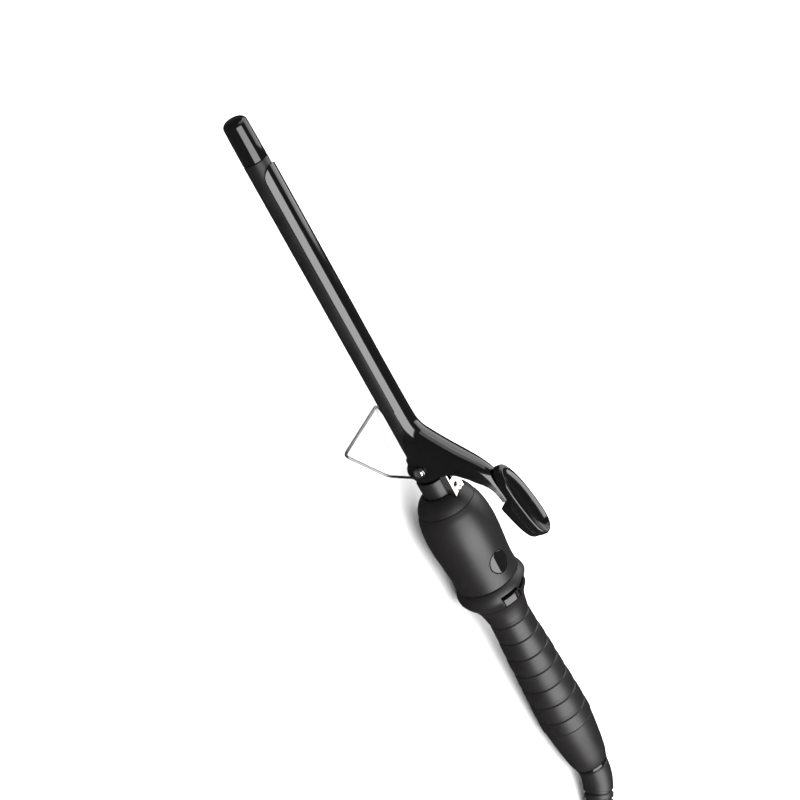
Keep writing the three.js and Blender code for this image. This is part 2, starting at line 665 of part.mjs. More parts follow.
const RELIEF_ROUTE = [[195.5, 0, 11.64], [199.5, -0.3, 11.4], [203.5, -1.4, 11.05], [207.5, -3.4, 10.5],
  [211.5, -6.1, 9.8], [218, -10.5, 8.4], [226, -15, 6.4], [232, -17.7, 5], [236.8, -19.3, 4.2]];
const CORD_FROM_RELIEF = [
  [237.4, -19.5, 4.1], [241.5, -20.4, 3.95], [246, -20.9, 3.9], [251.2, -21, 3.9],
];
const CORD_TO_PLUG = [[361.6, -26, 3.9], [366.5, -25.8, 4], [371.5, -25.1, 4.8], [376.5, -24.3, 5.8],
  [380.7, -24, 6.3]];

function strainRelief() {
  const path = smooth(RELIEF_ROUTE);
  const [steps, sides] = [20, 14];
  const frames = path.computeFrenetFrames(steps, false);
  const rows = [];
  for (let i = 0; i <= steps; i += 1) {
    const share = i / steps;
    const ribbed = share > 0.3 && i % 2 === 1 ? 0.75 : 0;
    const radius = 8.5 - 1.4 * share - 3.1 * share ** 2.4 - ribbed;
    const centre = path.getPointAt(share);
    rows.push(Array.from({ length: sides }, (_, j) => {
      const angle = (j / sides) * 2 * Math.PI;
      return centre.clone()
        .addScaledVector(frames.normals[i], radius * Math.cos(angle))
        .addScaledVector(frames.binormals[i], radius * Math.sin(angle));
    }));
  }
  const positions = [];
  const face = (a, b, c) => [a, b, c].forEach((v) => positions.push(v.x, v.y, v.z));
  const ends = [path.getPointAt(0), path.getPointAt(1)];
  for (let j = 0; j < sides; j += 1) {
    const k = (j + 1) % sides;
    for (let i = 0; i < steps; i += 1) {
      face(rows[i][j], rows[i + 1][j], rows[i + 1][k]);
      face(rows[i][j], rows[i + 1][k], rows[i][k]);
    }
    face(ends[0], rows[0][j], rows[0][k]);
    face(ends[1], rows[steps][k], rows[steps][j]);
  }
  const geometry = new THREE.BufferGeometry();
  geometry.setAttribute('position', new THREE.Float32BufferAttribute(positions, 3));
  return geometry;
}

// Outline of the folded hank: two runs drawn together by the tie, and round ends.
function hankOutline(grow) {
  const shape = new THREE.Shape();
  const steps = 12;
  const side = (x, sign) => {
    const pull = Math.cos((Math.PI * x) / HANK_RUN) ** 2;
    return sign * (HANK_END_R + grow - HANK_WAIST * pull);
  };
  shape.moveTo(-HANK_RUN / 2, side(-HANK_RUN / 2, -1));
  for (let i = 1; i <= steps; i += 1) {
    const x = -HANK_RUN / 2 + (HANK_RUN * i) / steps;
    shape.lineTo(x, side(x, -1));
  }
  shape.absarc(HANK_RUN / 2, 0, HANK_END_R + grow, -Math.PI / 2, Math.PI / 2, false);
  for (let i = 1; i <= steps; i += 1) {
    const x = HANK_RUN / 2 - (HANK_RUN * i) / steps;
    shape.lineTo(x, side(x, 1));
  }
  shape.absarc(-HANK_RUN / 2, 0, HANK_END_R + grow, Math.PI / 2, -Math.PI / 2, false);
  return shape;
}

function cordHank() {
  return upright(hankOutline(0), HANK_BASE, HANK_BASE + HANK_HEIGHT).translate(HANK_X, HANK_Y, 0);
}

// Strap that holds the hank at its waist.
function hankTie() {
  const half = HANK_END_R - HANK_WAIST + 2.5 * GAP;
  const low = HANK_BASE - GAP;
  const high = HANK_BASE + HANK_HEIGHT + GAP;
  const thick = 1;
  const outer = block(-4, 4, -half - thick, half + thick, low - thick, high + thick);
  return minus(outer, block(-5, 5, -half, half, low, high)).translate(HANK_X, HANK_Y, 0);
}

const PLUG = { x: 381, y: -24, length: 31, neck: 8, half: [9.2, 6.2], z: 6.3 };
const BLADE_Y = 6.35;      // the blades' pins are 12.7 mm apart

function plugBody() {
  const outline = (grow) => {
    const shape = new THREE.Shape();
    const [a, b] = [PLUG.half[0] + grow, PLUG.half[1] + grow];
    const r = 3;
    shape.moveTo(a, -b + r);
    shape.absarc(a - r, b - r, r, 0, Math.PI / 2, false);
    shape.absarc(-a + r, b - r, r, Math.PI / 2, Math.PI, false);
    shape.absarc(-a + r, -b + r, r, Math.PI, 1.5 * Math.PI, false);
    shape.absarc(a - r, -b + r, r, 1.5 * Math.PI, 2 * Math.PI, false);
    return shape;
  };
  const neck = disc(0, PLUG.neck + 4, 4, 20);
  const shoulder = alongX(outline(-1.6), PLUG.neck, PLUG.length, 5);
  const body = joined(shoulder, alongX(outline(0), PLUG.neck + 3, PLUG.length, 5), neck);
  const slots = [-1, 1].map((side) => block(
    PLUG.length - 5, PLUG.length + 1, side * BLADE_Y - 1.05, side * BLADE_Y + 1.05, -3.5, 3.5));
  return minus(body, ...slots).translate(PLUG.x, PLUG.y, PLUG.z);
}

function plugBlade(side) {
  const y = side * BLADE_Y;
  return block(PLUG.length - 4.7, PLUG.length + 17, y - 0.75, y + 0.75, -3.2, 3.2)
    .translate(PLUG.x, PLUG.y, PLUG.z);
}

// ---------------------------------------------------------------- assembly

const iron = together(
  part('tip_cap', tipCap(), GLOSS_BLACK),
  part('barrel_tube', barrelTube(), COATED_BLACK),
  part('heat_spreader_upper', heatSpreader(1), ALUMINIUM),
  part('heat_spreader_lower', heatSpreader(-1), ALUMINIUM),
  part('ceramic_heater', heater(), CERAMIC),
  part('lead_sleeve', leadSleeve(), GLASS_FIBRE),
  part('heater_lead_live', heaterLead(-1), GLASS_FIBRE),
  part('heater_lead_neutral', heaterLead(1), GLASS_FIBRE),
  part('hinge_bracket', hingeBracket(), NICKEL),
  part('base_sleeve', baseSleeve(), COATED_BLACK),
  part('bracket_screw', bracketScrew(), NICKEL),
  part('spring_pin', springPin(), STEEL),
  part('torsion_spring', torsionSpring(), NICKEL),
  part('pivot_screw_near', pivotScrew(-1), NICKEL),
  part('pivot_screw_far', pivotScrew(1), NICKEL),
  part('pivot_bush_near', pivotBush(-1), BRASS),
  part('pivot_bush_far', pivotBush(1), BRASS),
  part('clamp_lever', clampLever(), LACQUER_BLACK),
  thumbRest(),
  part('thumb_screw', thumbScrew(), STEEL),
  part('wire_stand', wireStand(), NICKEL),
  part('front_collar', frontCollar(), SOFT_BLACK),
  part('upper_shell', upperShell(), SOFT_BLACK),
  part('lamp_lens', lampLens(), SMOKED_LENS),
  part('control_collar', controlCollar(), SOFT_BLACK),
  part('slide_knob', slideKnob(), GLOSS_BLACK),
  part('switch_track', switchTrack(), NYLON),
  part('grip_sleeve', gripSleeve(), SOFT_BLACK),
  part('tail_cap', tailCap(), SOFT_BLACK),
  part('barrel_bulkhead', barrelBulkhead(), NYLON),
  part('inner_chassis', innerChassis(), NYLON),
  controlBoard(),
  part('board_lead_live', boardLead(-1, SLIP_RING_X[0] - 10.8), RUBBER_BLACK),
  part('board_lead_neutral', boardLead(1, SLIP_RING_X[1] - 10.8), GREY_PLASTIC),
  part('contact_brush_live', contactBrush(SLIP_RING_X[0], -1), BRASS),
  part('contact_brush_neutral', contactBrush(SLIP_RING_X[1], 1), BRASS),
  part('swivel_collar', swivelCollar(), GLOSS_BLACK),
  part('swivel_retainer', swivelRetainer(), NYLON),
  part('slip_ring_live', slipRing(SLIP_RING_X[0]), BRASS),
  part('slip_ring_neutral', slipRing(SLIP_RING_X[1]), BRASS));
iron.rotation.y = REST_TILT;
iron.position.set(REST_X, 0, REST_Z);

const group = together(
  iron,
  part('strain_relief', strainRelief(), RUBBER_BLACK),
  part('cord_lead', tube(smooth(CORD_FROM_RELIEF), CORD_R, 8, 10), RUBBER_BLACK),
  part('cord_hank', cordHank(), RUBBER_BLACK),
  part('cord_tail', tube(smooth(CORD_TO_PLUG), CORD_R, 10, 10), RUBBER_BLACK),
  part('hank_tie', hankTie(), RUBBER_BLACK),
  part('plug_body', plugBody(), RUBBER_BLACK),
  part('plug_blade_left', plugBlade(-1), NICKEL),
  part('plug_blade_right', plugBlade(1), NICKEL));

export default group;
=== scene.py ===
"""The curling iron's looks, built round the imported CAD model."""
import json
import math
import bmesh
import bpy
import numpy as np
from mathutils import Matrix, Vector


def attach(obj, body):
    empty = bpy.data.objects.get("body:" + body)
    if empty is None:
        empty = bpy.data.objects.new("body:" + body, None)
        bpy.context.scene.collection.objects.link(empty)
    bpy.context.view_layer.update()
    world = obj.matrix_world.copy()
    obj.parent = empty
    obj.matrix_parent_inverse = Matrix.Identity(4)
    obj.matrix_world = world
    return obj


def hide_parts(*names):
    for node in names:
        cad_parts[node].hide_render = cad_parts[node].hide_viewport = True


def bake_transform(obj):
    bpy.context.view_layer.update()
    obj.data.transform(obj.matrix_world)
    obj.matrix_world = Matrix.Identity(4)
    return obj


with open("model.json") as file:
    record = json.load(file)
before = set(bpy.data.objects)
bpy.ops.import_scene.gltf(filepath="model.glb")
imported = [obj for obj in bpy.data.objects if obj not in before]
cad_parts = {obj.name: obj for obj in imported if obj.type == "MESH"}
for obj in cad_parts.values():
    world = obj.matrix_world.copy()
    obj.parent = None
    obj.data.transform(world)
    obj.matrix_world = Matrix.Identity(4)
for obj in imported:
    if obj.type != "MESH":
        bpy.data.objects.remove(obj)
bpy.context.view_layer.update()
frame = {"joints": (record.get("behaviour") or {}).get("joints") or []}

# The iron's own frame, as in the CAD: millimetres, x along the barrel towards the cord, z towards the
# clamp, x = 0 at the pivot.
MM = 0.001
JOINTS = {joint["name"]: joint for joint in frame["joints"]}
PIVOT_Z = 1.1
ALONG = Vector(JOINTS["cord_swivel"]["axis"])
ACROSS = Vector((0, 1, 0))
ABOVE = ALONG.cross(ACROSS)
TURN = Matrix((ALONG, ACROSS, ABOVE)).transposed()
PIVOT = Vector(JOINTS["clamp_hinge"]["pos_m"])
IRON = Matrix.Translation(PIVOT - ABOVE * PIVOT_Z * MM) @ TURN.to_4x4() @ Matrix.Scale(MM, 4)
TABLE = Matrix.Scale(MM, 4)      # for the cord, which lies in the row's own frame


# ---------------------------------------------------------------- camera

CAMERA_BACK = Vector((-0.4226, -0.7238, 0.5454))     # from the target to the camera, in the iron's frame
CAMERA_UP = Vector((-0.7924, 0.5872, 0.1653))
CAMERA_TARGET = Vector((-34.3, 2.69, 3.57))
CAMERA_DISTANCE = 0.842
CAMERA_LENS = 81.36      # focal length in millimetres, on a sensor this wide:
CAMERA_SENSOR = 36


def facing(place, toward, side):
    """A matrix at a place whose z axis points toward, and whose x axis is near side."""
    z = toward.normalized()
    x = (side - z * side.dot(z)).normalized()
    return Matrix.Translation(place) @ Matrix((x, z.cross(x), z)).transposed().to_4x4()


def add_camera():
    camera = bpy.data.objects.new("camera", bpy.data.cameras.new("camera"))
    camera.data.lens = CAMERA_LENS
    camera.data.sensor_width = CAMERA_SENSOR
    camera.data.clip_start = 0.01
    camera.data.clip_end = 50
    back = (TURN @ CAMERA_BACK).normalized()
    camera.matrix_world = facing(
        IRON @ CAMERA_TARGET + back * CAMERA_DISTANCE, back, (TURN @ CAMERA_UP).cross(back))
    bpy.context.scene.collection.objects.link(camera)
    bpy.context.scene.camera = camera


# ---------------------------------------------------------------- stage and light

def add_floor():
    """A pale floor that curves up far away on all sides."""
    radius, flat_share, height, sides = 6.0, 0.6, 2.2, 64
    verts, faces = [(0, 0, 0)], []
    shares = np.linspace(0, 1, 40)[1:]
    for share in shares:
        rise = height * (max(0, share - flat_share) / (1 - flat_share)) ** 2.5
        for angle in np.arange(sides) * 2 * math.pi / sides:
            verts.append((radius * share * math.cos(angle), radius * share * math.sin(angle), rise))
    for i in range(sides):
        j = (i + 1) % sides
        faces.append((0, 1 + i, 1 + j))
        for ring in range(len(shares) - 1):
            base = 1 + ring * sides
            faces.append((base + i, base + sides + i, base + sides + j, base + j))
    mesh = bpy.data.meshes.new("floor")
    mesh.from_pydata(verts, [], faces)
    mesh.shade_smooth()
    floor = bpy.data.objects.new("floor", mesh)
    bpy.context.scene.collection.objects.link(floor)
    paper = bpy.data.materials.new("floor_paper")
    paper.use_nodes = True
    shader = paper.node_tree.nodes["Principled BSDF"]
    shader.inputs["Base Color"].default_value = (0.86, 0.86, 0.86, 1)
    shader.inputs["Roughness"].default_value = 0.9
    shader.inputs["Specular IOR Level"].default_value = 0
    mesh.materials.append(paper)
    floor.visible_glossy = False


def add_softbox(name, direction, distance, size, radiance):
    """A flat rectangular lamp that faces the iron, placed by its direction in the iron's frame."""
    toward = (TURN @ Vector(direction)).normalized()
    light = bpy.data.lights.new(name, "AREA")
    light.shape = "RECTANGLE"
    light.size, light.size_y = size
    light.energy = radiance * math.pi * size[0] * size[1]
    lamp = bpy.data.objects.new(name, light)
    lamp.matrix_world = facing(IRON.translation + toward * distance, toward, ALONG)
    bpy.context.scene.collection.objects.link(lamp)
    return lamp


def light_only(lamp, *names):
    """Keeps a lamp's light to the objects named."""
    lit = bpy.data.collections.new(lamp.name)
    for name in names:
        lit.objects.link(bpy.data.objects[name])
    lamp.light_linking.receiver_collection = lit


def add_lights():
    """A key softbox on the near side, two panels beyond the iron, and a wash over the floor alone."""
    add_softbox("key_softbox", (0.4226, -0.5325, 0.733), 1.15, (1.3, 1.15), 6.8)
    add_softbox("far_panel", (-0.3, 0.79, 0.62), 1.05, (1.25, 1.0), 2.6)
    add_softbox("upper_panel", (-0.66, 0.1, 0.744), 1.25, (0.8, 0.75), 1.5)
    light_only(add_softbox("floor_wash", (0, 0, 1), 2.4, (4, 4), 1.6), "floor")
    world = bpy.data.worlds.new("studio")
    world.use_nodes = True
    world.node_tree.nodes["Background"].inputs["Color"].default_value = (1, 1, 1, 1)
    world.node_tree.nodes["Background"].inputs["Strength"].default_value = 0.07
    bpy.context.scene.world = world
    bpy.context.scene.view_settings.view_transform = "Standard"


def add_metal_panel():
    """A panel where the bracket's flat top mirrors it towards the camera. It lights the bracket alone."""
    mirrored = (-CAMERA_BACK.x, -CAMERA_BACK.y, CAMERA_BACK.z)
    panel = add_softbox("metal_panel", mirrored, 0.9, (0.8, 0.7), 3)
    light_only(panel, "bracket", "strap_screw")


# ---------------------------------------------------------------- shapes

def smooth(points, step, measured=3):
    """Points about step apart on a smooth curve through a list of points. Only the first few numbers
    of a point are measured for its place along the curve."""
    p = np.array(points, float)
    t = np.concatenate([[0], np.cumsum(np.linalg.norm(np.diff(p[:, :measured], axis=0), axis=1))])
    slope = np.gradient(p, t, axis=0)
    found = []
    for i in range(len(p) - 1):
        span = t[i + 1] - t[i]
        count = max(1, round(span / step))
        for u in np.arange(count) / count:
            found.append((2 * u**3 - 3 * u**2 + 1) * p[i] + (u**3 - 2 * u**2 + u) * span * slope[i]
                         + (3 * u**2 - 2 * u**3) * p[i + 1] + (u**3 - u**2) * span * slope[i + 1])
    found.append(p[-1])
    return np.array(found)


def arc(centre, radius, start, end, count):
    """Points on an arc between two angles in degrees, in the plane of the two numbers given."""
    angles = np.radians(np.linspace(start, end, count))
    return [(centre[0] + radius * math.cos(a), centre[1] + radius * math.sin(a)) for a in angles]


def revolved(outline, sides=96):
    """A body turned round the x axis. Its outline of (x, radius) starts and ends on the axis or is a
    closed loop."""
    outline = [tuple(p) for p in outline]
    solid = outline[0][1] < 1e-6
    body = outline[1:-1] if solid else outline
    verts, faces = [], []
    for x, r in body:
        for i in range(sides):
            angle = 2 * math.pi * i / sides
            verts.append((x, r * math.sin(angle), r * math.cos(angle)))
    rows = len(body)
    for k in range(rows - 1 if solid else rows):
        a, b = k * sides, (k + 1) % rows * sides
        for i in range(sides):
            j = (i + 1) % sides
            faces.append((a + i, a + j, b + j, b + i))
    if solid:
        for end, row in ((outline[0], 0), (outline[-1], rows - 1)):
            verts.append((end[0], 0, 0))
            apex, first = len(verts) - 1, row * sides
            faces += [(apex, first + i, first + (i + 1) % sides) for i in range(sides)]
    return verts, faces


def sleeve(outside, bore, sides=96):
    """A tube round the x axis between an outside outline and a bore, both given from -x to +x."""
    return revolved([*outside, *reversed(list(bore))], sides)


def prism(outline, low, high, plane="xy"):
    """An outline in a plane, drawn out along the third axis from low to high."""
    order = {"xy": (0, 1, 2), "xz": (0, 2, 1), "yz": (2, 0, 1)}[plane]
    count = len(outline)
    flat = [(p[0], p[1], low) for p in outline] + [(p[0], p[1], high) for p in outline]
    verts = [tuple(v[k] for k in order) for v in flat]
    faces = [tuple(range(count)), tuple(range(count, 2 * count))]
    faces += [(i, (i + 1) % count, count + (i + 1) % count, count + i) for i in range(count)]
    return verts, faces


def block(low, high):
    outline = [(low[0], low[1]), (high[0], low[1]), (high[0], high[1]), (low[0], high[1])]
    return prism(outline, low[2], high[2])


def rounded_rectangle(half_wide, half_high, corner):
    """Outline of a rectangle with round corners, centred on the origin."""
    points = []
    for turn, (wide, high) in enumerate(((1, 1), (-1, 1), (-1, -1), (1, -1))):
        centre = (wide * (half_wide - corner), high * (half_high - corner))
        points += arc(centre, corner, 90 * turn, 90 * turn + 90, 9)
    return points


def rod(centre, radius, low, high, plane="xz", sides=48):
    """A round bar across a plane, centred at a point of it."""
    return prism(arc(centre, radius, 0, 360 * (1 - 1 / sides), sides), low, high, plane)


def swept(points, radii, sides=16):
    """A round bar along points, closed at both ends."""
    p = np.array(points, float)
    radii = np.broadcast_to(radii, len(p))
    tangents = np.gradient(p, axis=0)
    tangents /= np.linalg.norm(tangents, axis=1)[:, None]
    normal = np.cross(tangents[0], (0, 0, 1) if abs(tangents[0][2]) < 0.9 else (1, 0, 0))
    rings = []
    for place, tangent, radius in zip(p, tangents, radii):
        normal = normal - tangent * normal.dot(tangent)
        normal /= np.linalg.norm(normal)
        other = np.cross(tangent, normal)
        angles = 2 * math.pi * np.arange(sides) / sides
        rings.append([place + radius * (math.cos(a) * normal + math.sin(a) * other) for a in angles])
    return lofted(rings)


def lofted(rings, looped=False):
    """A skin over rings of points. The first and last are filled in, or joined if it is looped."""
    count = len(rings[0])
    verts = [tuple(p) for ring in rings for p in ring]
    faces = []
    for k in range(len(rings) if looped else len(rings) - 1):
        a, b = k * count, (k + 1) % len(rings) * count
        for i in range(count):
            j = (i + 1) % count
            faces.append((a + i, a + j, b + j, b + i))
    if not looped:
        faces += [tuple(range(count)), tuple(range(len(verts) - count, len(verts)))]
    return verts, faces


def mesh_of(name, shape, place=IRON):
    """An object with a shape's mesh, moved into the row's frame, with its faces turned out."""
    verts, faces = shape
    mesh = bpy.data.meshes.new(name)
    mesh.from_pydata([place @ Vector(v) for v in verts], [], faces)
    bm = bmesh.new()
    bm.from_mesh(mesh)
    bmesh.ops.remove_doubles(bm, verts=bm.verts, dist=1e-7)
    bmesh.ops.recalc_face_normals(bm, faces=bm.faces)
    bm.to_mesh(mesh)
    bm.free()
    found = bpy.data.objects.new(name, mesh)
    bpy.context.scene.collection.objects.link(found)
    return found


def cut(body, *shapes, how="DIFFERENCE", place=IRON):
    """Cuts shapes out of a body, adds them, or keeps what they share."""
    for shape in shapes:
        tool = mesh_of("tool", shape, place)
        change = body.modifiers.new("cut", "BOOLEAN")
        change.operation = how
        change.solver = "EXACT"
        change.object = tool
        result = bpy.data.meshes.new_from_object(
            body.evaluated_get(bpy.context.evaluated_depsgraph_get()))
        body.modifiers.clear()
        body.data = result
        bpy.data.objects.remove(tool)


def soften(body, width, segments=2, angle=30):
    """Rounds every edge sharper than an angle."""
    bm = bmesh.new()
    bm.from_mesh(body.data)
    limit = math.radians(angle)
    sharp = [e for e in bm.edges if len(e.link_faces) == 2 and e.calc_face_angle() > limit]
    bmesh.ops.bevel(bm, geom=sharp, offset=width * MM, segments=segments, profile=0.5,
                    affect="EDGES", clamp_overlap=True)
    bm.to_mesh(body.data)
    bm.free()


def finish_piece(piece, material, body="root", nodes=(), angle=32):
    """Shades and paints a piece, and lets it move with a body and stand for CAD nodes."""
    piece.data.name = piece.name
    piece.data.shade_smooth()
    piece.data.set_sharp_from_angle(angle=math.radians(angle))
    piece.data.materials.clear()
    piece.data.materials.append(material)
    if body:
        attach(piece, body)
    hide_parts(*nodes)
    return piece


# ---------------------------------------------------------------- materials

def surface(name, colour, roughness, metallic=0.0, drift=0.15, drift_size=9.0, smudge=0.05, grain=0.25,
            depth=0.004, scratch=0.0, brushed=(1, 1, 1), coat=0.0):
    """A finish with uneven colour, smudged gloss, a fine grain and, if asked for, hairline scratches.
    Sizes are in millimetres. A brushed finish stretches its grain along the small number's axis."""
    found = bpy.data.materials.new(name)
    found.use_nodes = True
    nodes, links = found.node_tree.nodes, found.node_tree.links
    shader = nodes["Principled BSDF"]
    shader.inputs["Metallic"].default_value = metallic
    shader.inputs["Coat Weight"].default_value = coat
    shader.inputs["Coat Roughness"].default_value = 0.05
    place = nodes.new("ShaderNodeTexCoord").outputs["Object"]

    def noise(size, detail=3.0, stretch=(1, 1, 1)):
        mapping = nodes.new("ShaderNodeMapping")
        mapping.inputs["Scale"].default_value = [s / (size * MM) for s in stretch]
        links.new(place, mapping.inputs["Vector"])
        texture = nodes.new("ShaderNodeTexNoise")
        texture.inputs["Scale"].default_value = 1
        texture.inputs["Detail"].default_value = detail
        links.new(mapping.outputs["Vector"], texture.inputs["Vector"])
        return texture.outputs["Fac"]

    def spread(value, low, high, to_low, to_high):
        span = nodes.new("ShaderNodeMapRange")
        for label, number in (("From Min", low), ("From Max", high), ("To Min", to_low), ("To Max", to_high)):
            span.inputs[label].default_value = number
        links.new(value, span.inputs["Value"])
        return span.outputs["Result"]

    def total(a, b):
        added = nodes.new("ShaderNodeMath")
        added.operation = "ADD"
        links.new(a, added.inputs[0])
        links.new(b, added.inputs[1])
        return added.outputs["Value"]

    tint = nodes.new("ShaderNodeMix")
    tint.data_type = "RGBA"
    dark, light, mixed = tint.inputs[6], tint.inputs[7], tint.outputs[2]      # the colour sockets
    dark.default_value = [c * (1 - drift) for c in colour] + [1]
    light.default_value = [min(1, c * (1 + drift)) for c in colour] + [1]
    patches = spread(noise(drift_size), 0.35, 0.65, 0, 0.6)
    specks = spread(noise(grain * 2, 1), 0.3, 0.7, 0, 0.4)
    links.new(total(patches, specks), tint.inputs["Factor"])
    links.new(mixed, shader.inputs["Base Color"])

    gloss = spread(noise(drift_size * 1.7, 5), 0.35, 0.65, roughness - smudge / 2, roughness + smudge / 2)
    height = spread(noise(grain, 2, brushed), 0.2, 0.8, 0, 1)
    if scratch:
        for turn in ((0.012, 0.8, 1.3), (1.1, 0.02, 0.9)):
            line = spread(noise(0.5, 1, turn), 0.69, 0.73, 0, 1)
            gloss = total(gloss, spread(line, 0, 1, 0, scratch))
            height = total(height, spread(line, 0, 1, 0, -0.6))
    links.new(gloss, shader.inputs["Roughness"])
    bump = nodes.new("ShaderNodeBump")
    bump.inputs["Strength"].default_value = 1
    bump.inputs["Distance"].default_value = depth * MM
    links.new(height, bump.inputs["Height"])
    links.new(bump.outputs["Normal"], shader.inputs["Normal"])
    return found


def woven(name, colour, roughness, pitch):
    """Braided glass-fibre sleeving: two crossed sets of strands."""
    found = surface(name, colour, roughness, drift=0.2, grain=0.1, depth=0.01)
    nodes, links = found.node_tree.nodes, found.node_tree.links
    place = nodes.new("ShaderNodeTexCoord").outputs["Object"]
    heights = []
    for lean in (1, -1):
        mapping = nodes.new("ShaderNodeMapping")
        mapping.inputs["Rotation"].default_value = (0, 0, lean * math.radians(45))
        links.new(place, mapping.inputs["Vector"])
        wave = nodes.new("ShaderNodeTexWave")
        wave.inputs["Scale"].default_value = 1 / (pitch * MM)
        wave.inputs["Distortion"].default_value = 0.6
        links.new(mapping.outputs["Vector"], wave.inputs["Vector"])
        heights.append(wave.outputs["Fac"])
    over = nodes.new("ShaderNodeMath")
    over.operation = "MAXIMUM"
    links.new(heights[0], over.inputs[0])
    links.new(heights[1], over.inputs[1])
    weave = nodes.new("ShaderNodeBump")
    weave.inputs["Distance"].default_value = 0.15 * MM
    links.new(over.outputs["Value"], weave.inputs["Height"])
    grain_bump = next(n for n in nodes if n.type == "BUMP" and n != weave)
    links.new(weave.outputs["Normal"], grain_bump.inputs["Normal"])
    return found


def make_materials():
    return {
        "gloss_black": surface("gloss_black", (0.004, 0.004, 0.0043), 0.10, smudge=0.05, grain=1.6,
                               depth=0.0012, scratch=0.08),
        "lacquer": surface("lacquered_clamp", (0.0035, 0.0035, 0.0038), 0.10, smudge=0.06, grain=2.2,
                           depth=0.0016, scratch=0.08, coat=0.3),
        "coating": surface("coated_barrel", (0.007, 0.007, 0.0074), 0.42, smudge=0.08, drift=0.3, grain=0.16,
                           depth=0.003, scratch=0.05),
        "soft_touch": surface("soft_touch", (0.0085, 0.0072, 0.0082), 0.45, smudge=0.05, drift=0.2, grain=0.2,
                              depth=0.003),
        "rubber": surface("cord_rubber", (0.009, 0.0085, 0.009), 0.48, smudge=0.1, drift=0.2, grain=0.3,
                          depth=0.006),
        "nickel": surface("nickel", (0.82, 0.80, 0.76), 0.16, metallic=1, smudge=0.1, drift=0.05, grain=0.5,
                          depth=0.0015, scratch=0.12),
        "wire": surface("wire_nickel", (0.2, 0.2, 0.2), 0.24, metallic=1, smudge=0.12, drift=0.12, grain=0.4,
                        depth=0.002, scratch=0.1),
        "steel": surface("steel", (0.52, 0.52, 0.51), 0.3, metallic=1, smudge=0.12, drift=0.12, grain=0.2,
                         depth=0.003, brushed=(0.1, 1, 1)),
        "aluminium": surface("aluminium", (0.7, 0.71, 0.72), 0.38, metallic=1, smudge=0.1, grain=0.2,
                             depth=0.005, brushed=(0.05, 1, 1)),
        "brass": surface("brass", (0.72, 0.5, 0.2), 0.25, metallic=1, smudge=0.12, drift=0.12, grain=0.25,
                         depth=0.002, scratch=0.1),
        "ceramic": surface("ceramic", (0.75, 0.7, 0.6), 0.6, drift=0.08, grain=0.3, depth=0.01),
        "glass_fibre": woven("glass_fibre", (0.65, 0.58, 0.4), 0.7, 0.7),
        "board": surface("board", (0.02, 0.16, 0.06), 0.35, drift=0.35, drift_size=2.5, grain=0.4,
                         depth=0.01),
        "nylon": surface("nylon", (0.045, 0.045, 0.048), 0.5, drift=0.15, grain=0.25, depth=0.006),
        "grey_plastic": surface("grey_plastic", (0.5, 0.5, 0.5), 0.35, drift=0.06, grain=0.3, depth=0.004),
        "lens": surface("lens", (0.006, 0.0055, 0.006), 0.05, smudge=0.03, drift=0.3, grain=2.5, depth=0.0006,
                        scratch=0.05),
    }


# The CAD nodes that keep their own mesh, by the material that they get.
KEPT = {
    "aluminium": ["heat_spreader_upper", "heat_spreader_lower"],
    "ceramic": ["ceramic_heater", "indicator_led"],
    "glass_fibre": ["lead_sleeve", "heater_lead_live", "heater_lead_neutral"],
    "steel": ["spring_pin", "thermal_fuse"],
    "brass": ["pivot_bush_near", "pivot_bush_far", "contact_brush_live", "contact_brush_neutral",
              "slip_ring_live", "slip_ring_neutral"],
    "board": ["control_board"],
    "nylon": ["capacitor", "triac", "switch_track", "barrel_bulkhead", "inner_chassis", "swivel_retainer"],
    "rubber": ["board_lead_live"],
    "grey_plastic": ["board_lead_neutral"],
}


def paint_kept_nodes(paint):
    for kind, names in KEPT.items():
        for name in names:
            for slot in bpy.data.objects[name].material_slots:
                slot.material = paint[kind]


# ---------------------------------------------------------------- cord, in the row's frame

CORD_R = 2.5
CORD_D = 2 * CORD_R
CORD_EXIT = (195.5, 0, 11.64)
RELIEF_ROUTE = [CORD_EXIT, (199.5, -0.3, 11.4), (203.5, -1.4, 11.05), (207.5, -3.4, 10.5),
                (211.5, -6.1, 9.8), (218, -10.5, 8.4), (226, -15, 6.4), (232, -17.7, 5), (236.8, -19.3, 4.2)]
LEAD_ROUTE = [*RELIEF_ROUTE[:-1], (237.4, -19.5, 4.1), (241.5, -20.4, 3.95), (246, -20.9, 3.9),
              (251.2, -21, 3.9), (260, -21, 3.9)]
PLUG_ROUTE = [(354, -26, 3.9), (361.6, -26, 3.9), (366.5, -25.8, 4), (371.5, -25.1, 4.8),
              (376.5, -24.3, 5.8), (380.7, -24, 6.3), (386, -24, 6.3)]
# The hank's middle, the length of its runs, and how high its lowest turn lies.
HANK_X, HANK_Y, HANK_RUN, HANK_BASE = 309, -6, 76, 1.4
# How far its lanes are from its middle line at the ends, and how much closer they come at the waist.
INNER_LANE, OUTER_LANE, WAIST = 3 * CORD_D, 4 * CORD_D, 2 * CORD_D


